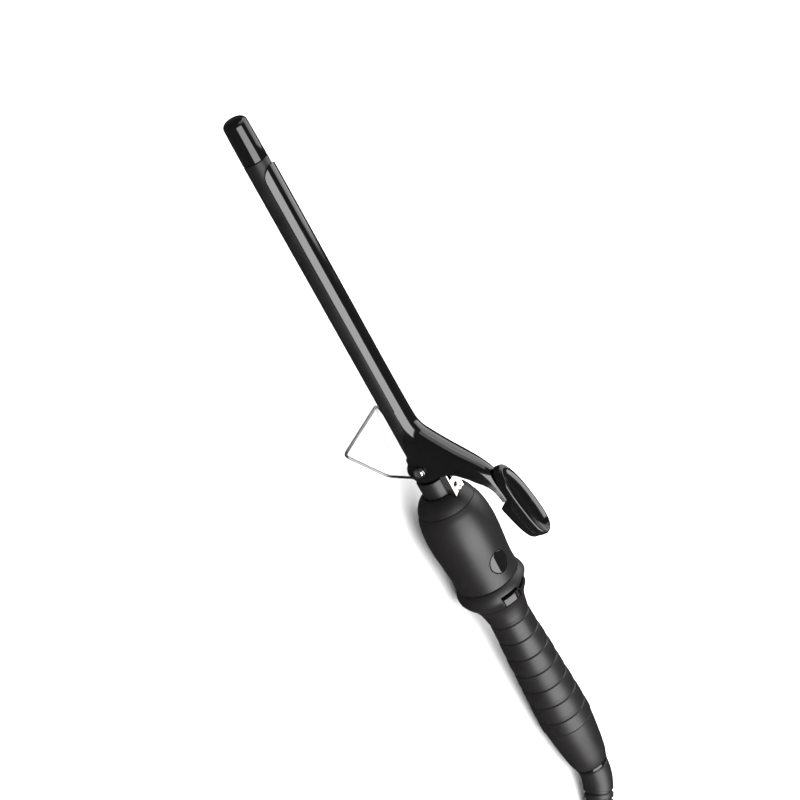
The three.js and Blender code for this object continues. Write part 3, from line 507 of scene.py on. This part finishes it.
def hank_route():
    """A folded hank of 7 turns: 4 on the inner lane on the way up and 3 outside them on the way down."""
    start, end = HANK_X - HANK_RUN / 2, HANK_X + HANK_RUN / 2
    points = []

    def height(level):
        return HANK_BASE + CORD_R + level * CORD_D

    def run(side, lane, low, high, dip=0.0):
        for t in np.linspace(0, 1, 40):
            x = start + (end - start) * (t if side < 0 else 1 - t)
            half = lane - WAIST * math.cos(math.pi * (x - HANK_X) / HANK_RUN) ** 2
            rise = t * t * (3 - 2 * t)
            z = height(low + (high - low) * rise - dip * math.sin(math.pi * t) ** 2)
            points.append((x, HANK_Y + side * half, z))

    def fold(side, near, far, level):
        for t in np.linspace(0, 1, 30)[1:-1]:
            radius = near + (far - near) * t
            angle = math.pi * t + (-math.pi / 2 if side > 0 else math.pi / 2)
            centre = end if side > 0 else start
            points.append((centre + radius * math.cos(angle), HANK_Y + radius * math.sin(angle),
                           height(level)))

    for level in range(3):
        run(-1, INNER_LANE, level, level)
        fold(1, INNER_LANE, INNER_LANE, level)
        run(1, INNER_LANE, level, level + 1)
        fold(-1, INNER_LANE, INNER_LANE, level + 1)
    run(-1, INNER_LANE, 3, 3)
    fold(1, INNER_LANE, OUTER_LANE, 3)
    for level in (3, 2, 1):
        run(1, OUTER_LANE, level, level, dip=1)
        fold(-1, OUTER_LANE, OUTER_LANE, level)
        run(-1, OUTER_LANE, level, level - 1)
        if level > 1:
            fold(1, OUTER_LANE, OUTER_LANE, level - 1)
    return points


def add_relief(paint):
    """Moulded relief: a smooth elbow at the handle, then ribs towards the cord."""
    path = smooth(RELIEF_ROUTE, 0.25)
    share = np.linspace(0, 1, len(path))
    radii = 8.5 - 1.4 * share - 3.1 * share ** 2.4
    ribs = 0.5 - 0.5 * np.cos(2 * np.pi * (share - 0.3) / 0.7 * 8)
    radii -= np.where(share > 0.3, 0.75 * np.clip((ribs - 0.55) * 4, 0, 1), 0)
    radii -= 0.5 * np.clip(1 - share / 0.02, 0, 1) + 0.5 * np.clip(1 - (1 - share) / 0.012, 0, 1)
    piece = mesh_of("relief", swept(path, radii, 48), TABLE)
    return finish_piece(piece, paint["rubber"], nodes=["strain_relief"])


def add_tie(paint):
    """Soft strap round the hank's waist, as a rounded rectangle seen along the hank."""
    thickness, half_width, bevel = 0.85, 4, 0.1
    half_y = OUTER_LANE - WAIST + CORD_R + 0.85
    half_z = 2 * CORD_D + 0.35
    middle = HANK_BASE + 2 * CORD_D
    inner = half_width - bevel
    share = 0.12      # of the thickness, taken by the bevel
    section = [(-inner, 0), (inner, 0), (half_width, share), (half_width, 1 - share), (inner, 1), (-inner, 1),
               (-half_width, 1 - share), (-half_width, share)]
    rings = []
    for y, z in rounded_rectangle(half_y, half_z, 2.2):
        rings.append([(HANK_X + x, HANK_Y + y * (1 + out * thickness / half_y),
                       middle + z * (1 + out * thickness / half_z)) for x, out in section])
    piece = mesh_of("tie", lofted(rings, looped=True), TABLE)
    return finish_piece(piece, paint["rubber"], nodes=["hank_tie"])


PLUG = TABLE @ Matrix.Translation((381, -24, 6.3))      # at the plug's cord end, x towards its blades
# Half-width, half-height and corner radius of the plug's section at each x.
PLUG_PROFILE = [
    (0, 3.9, 3.9, 3.7), (1.5, 4, 4, 3.8), (4, 4.3, 4.1, 3.7), (7, 5.6, 4.3, 3.2), (10, 7.6, 4.7, 3),
    (13, 8.7, 5.3, 3), (17, 8.2, 5.4, 3), (21, 8.3, 5.6, 3), (25, 9, 6, 3), (27.5, 9.2, 6.2, 3),
    (30.2, 9.2, 6.2, 3),
]
PLUG_EDGE = [(30.8, 8.9, 5.9, 2.8), (31, 8.4, 5.4, 2.5)]
FINGER_GROOVES = [15, 17.2, 19.4, 21.6]
BLADE_Y = 6.35
BLADE_OUTLINE = [(26.4, -3.2), (46.4, -3.2), (48, -2.2), (48, 2.2), (46.4, 3.2), (26.4, 3.2)]


def add_plug(paint):
    """Moulded two-pin plug with a ribbed finger grip."""
    sections = []
    for x, half_y, half_z, corner in smooth(PLUG_PROFILE, 0.3, measured=1):
        groove = sum(0.55 * math.exp(-((x - at) / 0.5) ** 2) for at in FINGER_GROOVES)
        sections.append((x, half_y - groove, half_z - groove, min(corner, half_z - groove - 0.05)))
    rings = [[(x, y, z) for y, z in rounded_rectangle(half_y, half_z, corner)]
             for x, half_y, half_z, corner in sections + PLUG_EDGE]
    plug = mesh_of("plug", lofted(rings), PLUG)
    for y in (-BLADE_Y, BLADE_Y):
        cut(plug, block((26, y - 1, -3.5), (32, y + 1, 3.5)), place=PLUG)
    finish_piece(plug, paint["rubber"], nodes=["plug_body"])
    blades = []
    for y, name in ((-BLADE_Y, "blade_left"), (BLADE_Y, "blade_right")):
        blade = mesh_of(name, prism(BLADE_OUTLINE, y - 0.75, y + 0.75, "xz"), PLUG)
        soften(blade, 0.2)
        cut(blade, rod((43, 0), 1.6, y - 3, y + 3), place=PLUG)
        blades.append(finish_piece(blade, paint["nickel"], nodes=["plug_" + name]))
    return plug, blades


def add_cord(paint):
    lead = smooth(LEAD_ROUTE, 1.5)
    hank = smooth(hank_route(), 1.2)
    tail = smooth(PLUG_ROUTE, 1.5)
    path = np.vstack([lead[:-1], smooth([LEAD_ROUTE[-1], hank[0]], 1.5)[:-1], hank,
                      smooth([hank[-1], PLUG_ROUTE[0]], 1.5)[1:-1], tail])
    piece = mesh_of("cord", swept(path, CORD_R, 14), TABLE)
    finish_piece(piece, paint["rubber"], nodes=["cord_lead", "cord_hank", "cord_tail"])
    relief, tie = add_relief(paint), add_tie(paint)
    plug, blades = add_plug(paint)


# ---------------------------------------------------------------- barrel

BARREL_R = 6
TIP_X = -189.5
CAP_SEAM_X = -168.5
GAP = 0.3


def add_barrel(paint):
    nose = [(TIP_X + 3.6 * (1 - math.cos(a) ** (2 / 2.5)), 5.75 * math.sin(a) ** (2 / 2.5))
            for a in np.linspace(0, math.pi / 2, 26)]
    seam = CAP_SEAM_X - GAP
    cap = [*nose, (-180, 5.86), (seam - 0.3, 5.97), (seam - 0.08, 5.9), (seam, 5.7), (seam, 4.95),
           (-159.4, 4.95), (-159, 4.6), (-159, 0)]
    piece = mesh_of("tip", revolved(cap, 128))
    finish_piece(piece, paint["gloss_black"], nodes=["tip_cap"])
    outside = [(CAP_SEAM_X, 5.8), (CAP_SEAM_X + 0.12, 5.94), (CAP_SEAM_X + 0.35, BARREL_R),
               (39.7, BARREL_R), (40, 5.8)]
    bore = [(CAP_SEAM_X, BARREL_R - 0.7), (40, BARREL_R - 0.7)]
    tube = mesh_of("barrel", sleeve(outside, bore, 128))
    finish_piece(tube, paint["coating"], nodes=["barrel_tube"])


# ---------------------------------------------------------------- hinge

PIN_PLACE = (-1, 11.2)       # x and z of the spring's pin
STRAP_SCREW_X = 16.2
PIVOT_SCREW_Y = 10.4         # tops of the pivot screws' heads
SHEET = 0.8


def add_bracket(paint):
    """Bright walls beside the spring with a plate over the sleeve, on a black strap round the barrel."""
    inner = BARREL_R + GAP
    outer = inner + SHEET
    wall_in, wall_out, top = 3.9, 4.7, 10.9
    turn = math.degrees(math.acos(wall_in / inner))
    band = arc((0, 0), outer, 180 - turn, 360 + turn, 72) + arc((0, 0), inner, 360 + turn, 180 - turn, 72)
    strap = mesh_of("strap", prism(band, -4.5, 5.5, "yz"))
    soften(strap, 0.14, 2, 40)
    finish_piece(strap, paint["coating"], nodes=["hinge_bracket"])
    parts = []
    for low, high in ((wall_in, wall_out), (-wall_out, -wall_in)):
        parts += [block((-4.5, low, 5.1), (5.5, high, top)), block((5, low, 7.4), (23, high, top)),
                  rod(PIN_PLACE, 2.6, low, high)]
    piece = mesh_of("bracket", block((10.7, -wall_out, top - SHEET), (23, wall_out, top)))
    cut(piece, *parts, how="UNION")
    cut(piece, rod(PIN_PLACE, 1.75, -6, 6), rod((STRAP_SCREW_X, 0), 1.7, top - 2, top + 2, "xy"))
    soften(piece, 0.14, 2, 40)
    finish_piece(piece, paint["nickel"], nodes=["hinge_bracket"])


def screw(head_r, head_height, shank_r, length, dome=0.25):
    """A screw along +z with its head's top at z = 0."""
    top = [(-(dome * (r / head_r) ** 2) - (0.35 * max(0, (r / head_r - 0.8) / 0.2) ** 2), r)
           for r in np.linspace(head_r, 0, 12)]
    outline = [(-length, 0), (-length, shank_r * 0.7), (-length + 0.5, shank_r), (-head_height, shank_r),
               (-head_height, head_r - 0.1), (-head_height + 0.1, head_r), *top]
    verts, faces = revolved(outline, 48)
    return [(y, z, x) for x, y, z in verts], faces


def add_screw(name, node, shape, head_r, recess, place, material, body="root"):
    """A cross-recessed screw, made along z and then put in place."""
    piece = mesh_of(name, shape, place)
    reach, half = head_r * 0.6, head_r * 0.15
    for wide, high in ((reach, half), (half, reach)):
        cut(piece, block((-wide, -high, -recess), (wide, high, 1)), place=place)
    finish_piece(piece, material, body, [node])


def add_hinge_screws(paint):
    for side, name in ((-1, "near"), (1, "far")):
        outward = Matrix.Rotation(math.radians(-90 * side), 4, "X")
        spun = Matrix.Rotation(math.radians(27), 4, "Z")
        place = IRON @ Matrix.Translation((0, side * PIVOT_SCREW_Y, PIVOT_Z)) @ outward @ spun
        add_screw("pivot_" + name, "pivot_screw_" + name, screw(2.3, 0.9, 1.5, 4), 2.3, 0.5, place,
                  paint["nickel"])
    place = IRON @ Matrix.Translation((STRAP_SCREW_X, 0, 12.1)) @ Matrix.Rotation(math.radians(20), 4, "Z")
    add_screw("strap_screw", "bracket_screw", screw(2.5, 1.1, 1.35, 3.2), 2.5, 0.7, place,
              paint["nickel"])


def add_sleeve(paint):
    outside = [(8.2, 7.7), (8.5, 8), (27.5, 8)]
    piece = mesh_of("sleeve", sleeve(outside, [(8.2, 6.3), (27.5, 6.3)], 96))
    finish_piece(piece, paint["coating"], nodes=["base_sleeve"])


def add_spring(paint):
    """Double-leg spring: its long leg lifts the lever, its coil stays on the pin."""
    turns, radius, pitch, short_leg, long_leg = 6.25, 2.4, 1.02, 12.5, 12.4
    half = turns * pitch / 2
    pin_x, pin_z = PIN_PLACE
    points = [(pin_x + short_leg * (1 - t), -half, pin_z - radius) for t in np.linspace(0, 1, 14)[:-1]]
    for t in np.linspace(0, 1, 200):
        angle = -math.pi / 2 - turns * 2 * math.pi * t
        points.append((pin_x + radius * math.cos(angle), half * (2 * t - 1),
                       pin_z + radius * math.sin(angle)))
    lean = Vector((0.42, 0, 0.9075))
    last = Vector(points[-1])
    points += [tuple(last + lean * long_leg * t) for t in np.linspace(0, 1, 24)[1:]]
    piece = mesh_of("spring", swept(points, 0.42, 12))
    finish_piece(piece, paint["nickel"], body=None, nodes=["torsion_spring"])
    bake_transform(piece)


# ---------------------------------------------------------------- clamp

SPOON_R = 7.1
# Cross-sections of the pressed sheet: where the middle of its top is (x, z), how steeply it climbs
# (degrees), the radius of its dome, and how deep its sides are, measured from the top. The dome bends
# 60 degrees to each side, a flank runs on from it at that slope, and turns down where it meets an ear.
CLAMP_SECTIONS = [
    (-96, 7.1, 0, SPOON_R, 3.55), (-34, 7.15, 1, SPOON_R, 3.55), (-28, 7.25, 3, SPOON_R, 3.75),
    (-22, 7.8, 14, SPOON_R, 4.8), (-19, 8.9, 26, SPOON_R, 6), (-16.5, 10.6, 34, SPOON_R, 7),
    (-13, 13.4, 39, SPOON_R, 8), (-8.5, 17.1, 40, SPOON_R, 8), (-3.5, 21.6, 43, SPOON_R, 8),
    (0.4, 25.3, 43, 6.6, 8), (4.8, 29.2, 39, 6, 7.2), (9, 32.1, 30, 5.4, 6.7), (13.5, 34, 20, 5.1, 5.4),
    (18, 35.15, 13, 4.9, 4.3), (22.5, 36, 10.6, 4.8, 3.9), (26.3, 36.7, 10.6, 4.8, 3.9),
]
CLAMP_BEND = math.radians(60)
SPOON_TIP_X, SPOON_ROUND = -165, 7      # the tip and the length of its rounding
EAR_Y = 8
EAR_R = 6.4
EAR_CORNER_R = 2.2      # where a flank turns down into an ear
EAR_FROM, EAR_TO, EAR_FADE = -22, 13, 4
# Lower edge of the ears, round the pivot and up behind it: x, z.
CLAMP_EDGE = [
    (-30, 2.9), (-26, 2.6), (-22.5, 1.9), (-18, 0.7), (-13, -0.5), (-9, -1.5), (-6.6, -2.6),
    *arc((0, PIVOT_Z), EAR_R, 220, 365, 40),
    (6.1, 5), (5.1, 9.5), (4.8, 13.5), (5.5, 17.5), (7.2, 20.9), (8.9, 23.2), (12.2, 26.9), (16.3, 30.6),
    (21, 32.6),
]


def reach_of_edge(start, direction, edge):
    """How far the edge is from a point in a direction, both in the x-z plane."""
    found = []
    for a, b in zip(edge[:-1], edge[1:]):
        along = b - a
        crossing = direction[0] * along[1] - direction[1] * along[0]
        if abs(crossing) > 1e-9:
            offset = a - start
            t = (offset[0] * along[1] - offset[1] * along[0]) / crossing
            u = (offset[0] * direction[1] - offset[1] * direction[0]) / crossing
            if t > 0 and -1e-6 <= u <= 1 + 1e-6:
                found.append(t)
    return min(found) if found else None


def clamp_rows():
    """The sheet's sections from the spoon's round tip to the end under the thumb rest."""
    edge = smooth([(*p, 0) for p in CLAMP_EDGE], 0.4)[:, :2]
    sections = []
    for u in (0.01, 0.03, 0.07, 0.12, 0.18, 0.26, 0.36, 0.48, 0.62, 0.78, 0.92, 1):
        bend = CLAMP_BEND * math.sqrt(1 - (1 - u) ** 2)
        sections.append((SPOON_TIP_X + SPOON_ROUND * u, SPOON_R, 0, SPOON_R, SPOON_R * (1 - math.cos(bend))))
    for x in np.arange(-154, -97, 4):
        sections.append((x, SPOON_R, 0, SPOON_R, SPOON_R * (1 - math.cos(CLAMP_BEND))))
    for x, z, climb, radius, depth in smooth(CLAMP_SECTIONS, 0.55, measured=2):
        tilt = math.radians(climb)
        down = np.array((math.sin(tilt), -math.cos(tilt)))
        below = 2      # the edge is looked for from this far under the top
        ear = EAR_FROM < x < EAR_TO
        reach = reach_of_edge(np.array((x, z)) + down * below, down, edge) if ear else None
        if reach is not None:
            share = min(1, (x - EAR_FROM) / EAR_FADE) * min(1, (EAR_TO - x) / EAR_FADE)
            depth += (max(depth, reach + below) - depth) * share * share * (3 - 2 * share)
        sections.append((x, z, climb, radius, depth))
    return sections


def clamp_ring(section):
    x, z, climb, radius, depth = section
    tilt = math.radians(climb)
    bend = min(CLAMP_BEND, math.acos(max(-1, 1 - depth / radius)))
    dome = radius * (1 - math.cos(bend))
    flank = (EAR_Y - radius * math.sin(bend)) / math.cos(bend) if bend == CLAMP_BEND else 0
    turn = EAR_CORNER_R * math.tan((math.pi / 2 - CLAMP_BEND) / 2)
    left = max(0, depth - dome)

    def side(inset):
        """Down one side: the dome, the flank, a rounded corner, and the ear."""
        points = []
        for t in np.linspace(0, 1, 17)[1:]:
            reach, a = radius - inset, bend * t
            points.append((reach * math.sin(a), radius - reach * math.cos(a)))
        y, d = points[-1]
        straight = max(0, flank - turn)
        bent = (math.cos(bend) * straight, math.sin(bend) * straight)
        route = [(0, 0), bent]
        for t in np.linspace(0, 1, 7)[1:]:
            a = bend + (math.pi / 2 - bend) * t
            route.append((bent[0] + EAR_CORNER_R * (math.sin(a) - math.sin(bend)),
                          bent[1] + EAR_CORNER_R * (math.cos(bend) - math.cos(a))))
        route.append((route[-1][0], route[-1][1] + 60))
        outs, downs = zip(*route)
        for t in np.linspace(0, 1, 21)[1:]:
            down = max(0, left - inset * math.cos(bend)) * t
            points.append((y + float(np.interp(down, downs, outs)), d + down))
        return points

    def across(inset):
        right = side(inset)
        return [(-y, d) for y, d in reversed(right)] + [(0, inset)] + right

    ring = across(0) + list(reversed(across(SHEET)))
    return [(x + d * math.sin(tilt), y, z - d * math.cos(tilt)) for y, d in ring]


def add_clamp(paint):
    rows = [clamp_ring(section) for section in clamp_rows()]
    piece = mesh_of("clamp_plate", lofted(rows))
    soften(piece, 0.16, 3, 50)
    cut(piece, rod((0, PIVOT_Z), 2.6, -9, 9))
    finish_piece(piece, paint["lacquer"], "clamp", ["clamp_lever"])


# ---------------------------------------------------------------- thumb rest

THUMB_HALF = (20.9, 7.1)
THUMB_TURN = Matrix.Rotation(math.radians(-10.6), 4, "Y")
THUMB = IRON @ Matrix.Translation((29.8, 0, 40.9)) @ THUMB_TURN
LEVER_SCREW = IRON @ Matrix.Translation((19.75, 0, 32.65)) @ THUMB_TURN
COVER_SCREW_X = 8


def thumb_outline(count=144):
    """Egg-shaped outline, more pointed towards the barrel's tip."""
    points = []
    for i in range(count):
        angle = 2 * math.pi * i / count
        c, s = math.cos(angle), math.sin(angle)
        power = (2 / 3.2, 2 / 2.5) if c > 0 else (2 / 2.15, 2 / 2.2)
        points.append((THUMB_HALF[0] * math.copysign(abs(c) ** power[0], c),
                       THUMB_HALF[1] * math.copysign(abs(s) ** power[1], s)))
    return points


def add_thumb_rest(paint):
    outline = thumb_outline()
    rings = [(1.5, -3.2), (0.2, -3.2), (0, -2.95), (0, 0.1), (0.1, 0.55), (0.32, 0.92), (0.6, 1.13),
             (0.85, 1.2), (1, 1.17)]
    for share in np.linspace(1, 0.03, 26):
        rings.append((7.05 - 5.9 * share, 1.1 - 2.3 * (1 - share ** 2)))
    rows = []
    for inset, z in rings:
        row = []
        for x, y in outline:
            front = max(0, -x / THUMB_HALF[0]) ** 2
            pull = inset + 1.6 * front * min(inset, 1)
            row.append((x * (1 - pull / THUMB_HALF[0]), y * (1 - min(pull, 7) / THUMB_HALF[1]), z))
        rows.append(row)
    pad = mesh_of("pad", lofted(rows), THUMB)
    finish_piece(pad, paint["gloss_black"], "clamp", ["thumb_pad"], angle=40)

    inset = 0.15
    base = [(x * (1 - inset / THUMB_HALF[0]), y * (1 - inset / THUMB_HALF[1])) for x, y in outline]
    cover = mesh_of("cover", prism(base, -9.3, -3.5), THUMB)
    side = [(-2.6, -9), (16.2, -6.85), (18, -6.55), (19.4, -6), (20.4, -5), (21, -3.8), (21.4, -2),
            (-2.6, -2)]
    cut(cover, prism(side, -12, 12, "xz"), how="INTERSECT", place=THUMB)
    soften(cover, 0.45, 3, 32)
    for radius, low, high in ((1.4, -14, 0), (2.6, -12, -5.9)):
        cut(cover, rod((COVER_SCREW_X, 0), radius, low, high, "xy"), place=THUMB)
    finish_piece(cover, paint["gloss_black"], "clamp", ["thumb_cover"])

    over = Matrix.Rotation(math.pi, 4, "X")
    cover_screw = THUMB @ Matrix.Translation((COVER_SCREW_X, 0, -6.9))
    for name, node, length, place in (("cover_pin", "cover_screw", 5, cover_screw),
                                      ("lever_pin", "thumb_screw", 4.3, LEVER_SCREW)):
        add_screw(name, node, screw(2.1, 1, 0.95, length), 2.1, 0.6, place @ over,
                  paint["steel"], "clamp")


# ---------------------------------------------------------------- wire stand

STAND_FOOT = (-23.9, 20.2, -23.3)
WIRE_R = 0.62


def rounded_path(points, radius, step=0.4):
    """Points along straight stretches whose corners are rounded off."""
    corners = [np.array(p, float) for p in points]
    found = []
    start = corners[0]
    for corner, after in zip(corners[1:-1], corners[2:]):
        reach = min(radius, np.linalg.norm(corner - start) * 0.45)
        before = corner + (start - corner) * reach / np.linalg.norm(corner - start)
        beyond = corner + (after - corner) * reach / np.linalg.norm(after - corner)
        count = max(1, round(np.linalg.norm(before - start) / step))
        found += [start + (before - start) * t for t in np.arange(count) / count]
        bend = max(4, round(2 * reach / step))
        for t in np.arange(bend) / bend:
            found.append((1 - t) ** 2 * before + 2 * t * (1 - t) * corner + t * t * beyond)
        start = beyond
    count = max(1, round(np.linalg.norm(corners[-1] - start) / step))
    found += [start + (corners[-1] - start) * t for t in np.arange(count + 1) / count]
    return found


def add_stand(paint):
    """One bent wire: an eye round each pivot screw and two legs that run to the foot."""
    foot_x, foot_y, foot_z = STAND_FOOT
    eye = [(x, -8.78, z) for x, z in arc((0, PIVOT_Z), 2.55, 300, 0, 12)]
    near = [*eye, (2.2, -9, -2), (-3.2, -12, -13.3), (foot_x, -foot_y, foot_z)]
    far = [(x, -y, z) for x, y, z in reversed(near)]
    piece = mesh_of("stand_wire", swept(rounded_path(near + far, 2.6), WIRE_R))
    finish_piece(piece, paint["wire"], "stand", ["wire_stand"])


# ---------------------------------------------------------------- handle

def turned_band(x0, x1, inner, outer, start, end):
    """A piece of a ring round the x axis, between two angles in degrees from -y towards +z."""
    count = max(8, round((end - start) / 1.5))
    outside = arc((0, 0), outer, 180 - start, 180 - end, count)
    inside = arc((0, 0), inner, 180 - end, 180 - start, count)
    return prism(outside + inside, x0, x1, "yz")


def add_front_collar(paint):
    outside = smooth([(17.3, 8.95, 0), (18.2, 10.5, 0), (19.6, 12.1, 0), (21.4, 13.45, 0), (23.2, 14.35, 0),
                      (24.45, 14.83, 0)], 0.4)[:, :2]
    bore = [(17.3, 8.35), (21.2, 8.35), (21.2, 10), (24.7, 10)]
    piece = mesh_of("collar", sleeve([(17.35, 8.7), *outside, (24.7, 14.7)], bore, 128))
    cut(piece, block((16, -5, 4), (26, 5, 11.25)))
    finish_piece(piece, paint["soft_touch"], nodes=["front_collar"])


LENS_X = 59.5
LENS_HALF = (6, 5.4)
LENS_TURN = Matrix.Rotation(math.radians(23), 4, "X")
SHELL = [(25.3, 14.92), (27.5, 15.95), (31, 16.9), (35.5, 17.6), (40.5, 17.9), (46, 17.83), (52, 17.4),
         (58, 16.85), (64, 16.45), (71.05, 16.5)]


def add_upper_shell(paint):
    outside = smooth([(*p, 0) for p in SHELL], 0.6)[:, :2]
    bore = [(25, 13), (31, 14.9), (40.5, 15.9), (64, 14.5), (71.3, 14.4)]
    piece = mesh_of("shell", sleeve([(25, 14.75), *outside, (71.3, 16.3)], bore, 160))
    opening = [(LENS_X + (LENS_HALF[0] + 0.25) * c, (LENS_HALF[1] + 0.25) * s)
               for c, s in arc((0, 0), 1, 0, 357, 120)]
    cut(piece, prism(opening, 11, 20), place=IRON @ LENS_TURN)
    finish_piece(piece, paint["soft_touch"], nodes=["upper_shell"])


def add_lens(paint):
    """Smoked lens over the indicator lamp, level with the shell and following its round."""
    rings = [(0.001, -2), (0.9, -2), (0.975, -0.35), (1, -0.12), (0.985, 0.05), (0.955, 0.16), (0.9, 0.2),
             *[(share, 0.2) for share in np.linspace(0.85, 0.02, 16)]]
    along, radii = zip(*SHELL)
    rows = []
    for share, proud in rings:
        row = []
        for c, s in arc((0, 0), share, 0, 357, 120):
            x, y = LENS_X + LENS_HALF[0] * c, LENS_HALF[1] * s
            radius = np.interp(x, along, radii) + proud
            row.append((x, y, math.sqrt(radius ** 2 - y ** 2)))
        rows.append(row)
    piece = mesh_of("lens", lofted(rows), IRON @ LENS_TURN)
    finish_piece(piece, paint["lens"], nodes=["lamp_lens"], angle=50)


# Places round the collar, in degrees from -y towards +z.
SLOT = (38, 128)
KNOB_START, KNOB_SPAN = 39.5, 34


def add_control_collar(paint):
    outside = smooth([(71.85, 16.75, 0), (73.4, 17.6, 0), (75, 18.15, 0), (76.5, 18.3, 0), (78.2, 18.1, 0),
                      (80, 17.3, 0), (82.2, 15.9, 0), (83.8, 14.7, 0)], 0.4)[:, :2]
    ends = [(71.6, 16.45), *outside, (84, 14.4)]
    piece = mesh_of("control", sleeve(ends, [(71.6, 13.2), (84, 13.2)], 160))
    recess = turned_band(75.4, 82.3, 15.3, 20, *SLOT)
    slot = turned_band(79.1, 80.9, 12, 16, SLOT[0] + 8, SLOT[1] - 4)
    cut(piece, recess, slot)
    finish_piece(piece, paint["soft_touch"], nodes=["control_collar"])


def add_knob(paint):
    """Curved button with a few grooves across it near its far end."""
    rows = []
    for angle in np.concatenate([[0, 0.4, 1.2], np.linspace(2, KNOB_SPAN - 2, 100),
                                 [KNOB_SPAN - 1.2, KNOB_SPAN - 0.4, KNOB_SPAN]]):
        end = min(angle, KNOB_SPAN - angle)
        inset = 0.35 * max(0, 1 - end / 1.6) ** 2
        wave = math.cos((angle - 22) / 3.4 * 2 * math.pi) if 21 < angle < 32 else 0
        groove = 0.5 * min(1, max(0, wave * 2))
        top, low = 18.3 - inset - groove, 15.6
        near, far = 77.3 + inset, 82 - inset
        section = [(near, low), (near, top - 0.7)]
        section += arc((near + 0.7, top - 0.7), 0.7, 180, 90, 6)
        section += arc((far - 1.1, top - 1.1), 1.1, 90, 0, 8)
        section += [(far, low)]
        a = math.radians(180 - KNOB_START - angle)
        rows.append([(x, r * math.cos(a), r * math.sin(a)) for x, r in section])
    piece = mesh_of("knob", lofted(rows))
    middle = KNOB_START + KNOB_SPAN / 2
    cut(piece, turned_band(79.4, 80.6, 12.2, 16, middle - 4, middle + 4), how="UNION")
    finish_piece(piece, paint["gloss_black"], "control", ["slide_knob"], angle=40)


GRIP_START_X = 84.3
GRIP_END_X, GRIP_END_R = 168.3, 13.8
GRIP_BORE = 9.3
GROOVE_STEP = 10.5
GROOVES = [97.5 + GROOVE_STEP * i for i in range(7)]


def add_grip(paint):
    """Sleeve with seven grooves, a shallow dip round each, and a small flat where it lies."""
    profile = smooth([(GRIP_START_X, 14.3, 0), (87.5, 12.8, 0), (92, 11.6, 0), (99.5, 10.9, 0),
                      (110, 11.4, 0), (119.5, 12, 0), (135.5, 12.6, 0), (150.5, 13.3, 0), (160, 13.7, 0),
                      (GRIP_END_X, GRIP_END_R, 0)], 0.5)
    outside = [(GRIP_START_X, 14.1)]
    for x in np.arange(GRIP_START_X + 0.15, GRIP_END_X - 0.2, 0.15):
        radius = np.interp(x, profile[:, 0], profile[:, 1])
        groove = sum(0.42 * math.exp(-((x - at) / 0.3) ** 2) for at in GROOVES)
        dip = 0.22 * math.cos(2 * math.pi * (x - GROOVES[0]) / GROOVE_STEP) if 92 < x < 163 else 0
        outside.append((x, radius - groove - max(0, dip)))
    outside += [(GRIP_END_X - 0.12, GRIP_END_R - 0.03), (GRIP_END_X, GRIP_END_R - 0.2)]
    piece = mesh_of("grip", sleeve(outside, [(GRIP_START_X, GRIP_BORE), (GRIP_END_X, GRIP_BORE)], 160))
    cut(piece, block((120, -12, -6), (180, 12, 0)), place=TABLE)
    finish_piece(piece, paint["soft_touch"], nodes=["grip_sleeve"])


def add_tail(paint):
    outside = smooth([(168.95, 13.35, 0), (174, 13, 0), (181, 12.3, 0), (188, 11.5, 0), (193, 10.8, 0),
                      (196.6, 10, 0), (198.3, 9.45, 0)], 0.5)[:, :2]
    bore = [(168.7, GRIP_BORE), (176, GRIP_BORE), (193.9, 8.2), (193.9, 5.4), (198.5, 5.4)]
    tail = mesh_of("tail", sleeve([(168.7, 13.15), *outside, (198.5, 9.2)], bore, 128))
    finish_piece(tail, paint["soft_touch"], nodes=["tail_cap"])
    outside = [(176.5, 3.9), (194.4, 3.9), (194.4, 5.15), (198.8, 5.15), (198.8, 8.55), (199.05, 8.85),
               (199.4, 8.95), (200.4, 8.95), (200.8, 8.85), (201, 8.6)]
    ring = mesh_of("swivel_ring", sleeve(outside, [(176.5, 2.9), (201, 2.9)], 128))
    finish_piece(ring, paint["gloss_black"], "swivel", ["swivel_collar"])


# ---------------------------------------------------------------- scene

add_camera()
add_floor()
add_lights()
PAINT = make_materials()
add_cord(PAINT)
paint_kept_nodes(PAINT)
add_barrel(PAINT)
add_bracket(PAINT)
add_hinge_screws(PAINT)
add_sleeve(PAINT)
add_spring(PAINT)
add_clamp(PAINT)
add_thumb_rest(PAINT)
add_stand(PAINT)
add_front_collar(PAINT)
add_upper_shell(PAINT)
add_lens(PAINT)
add_control_collar(PAINT)
add_knob(PAINT)
add_grip(PAINT)
add_tail(PAINT)
add_metal_panel()
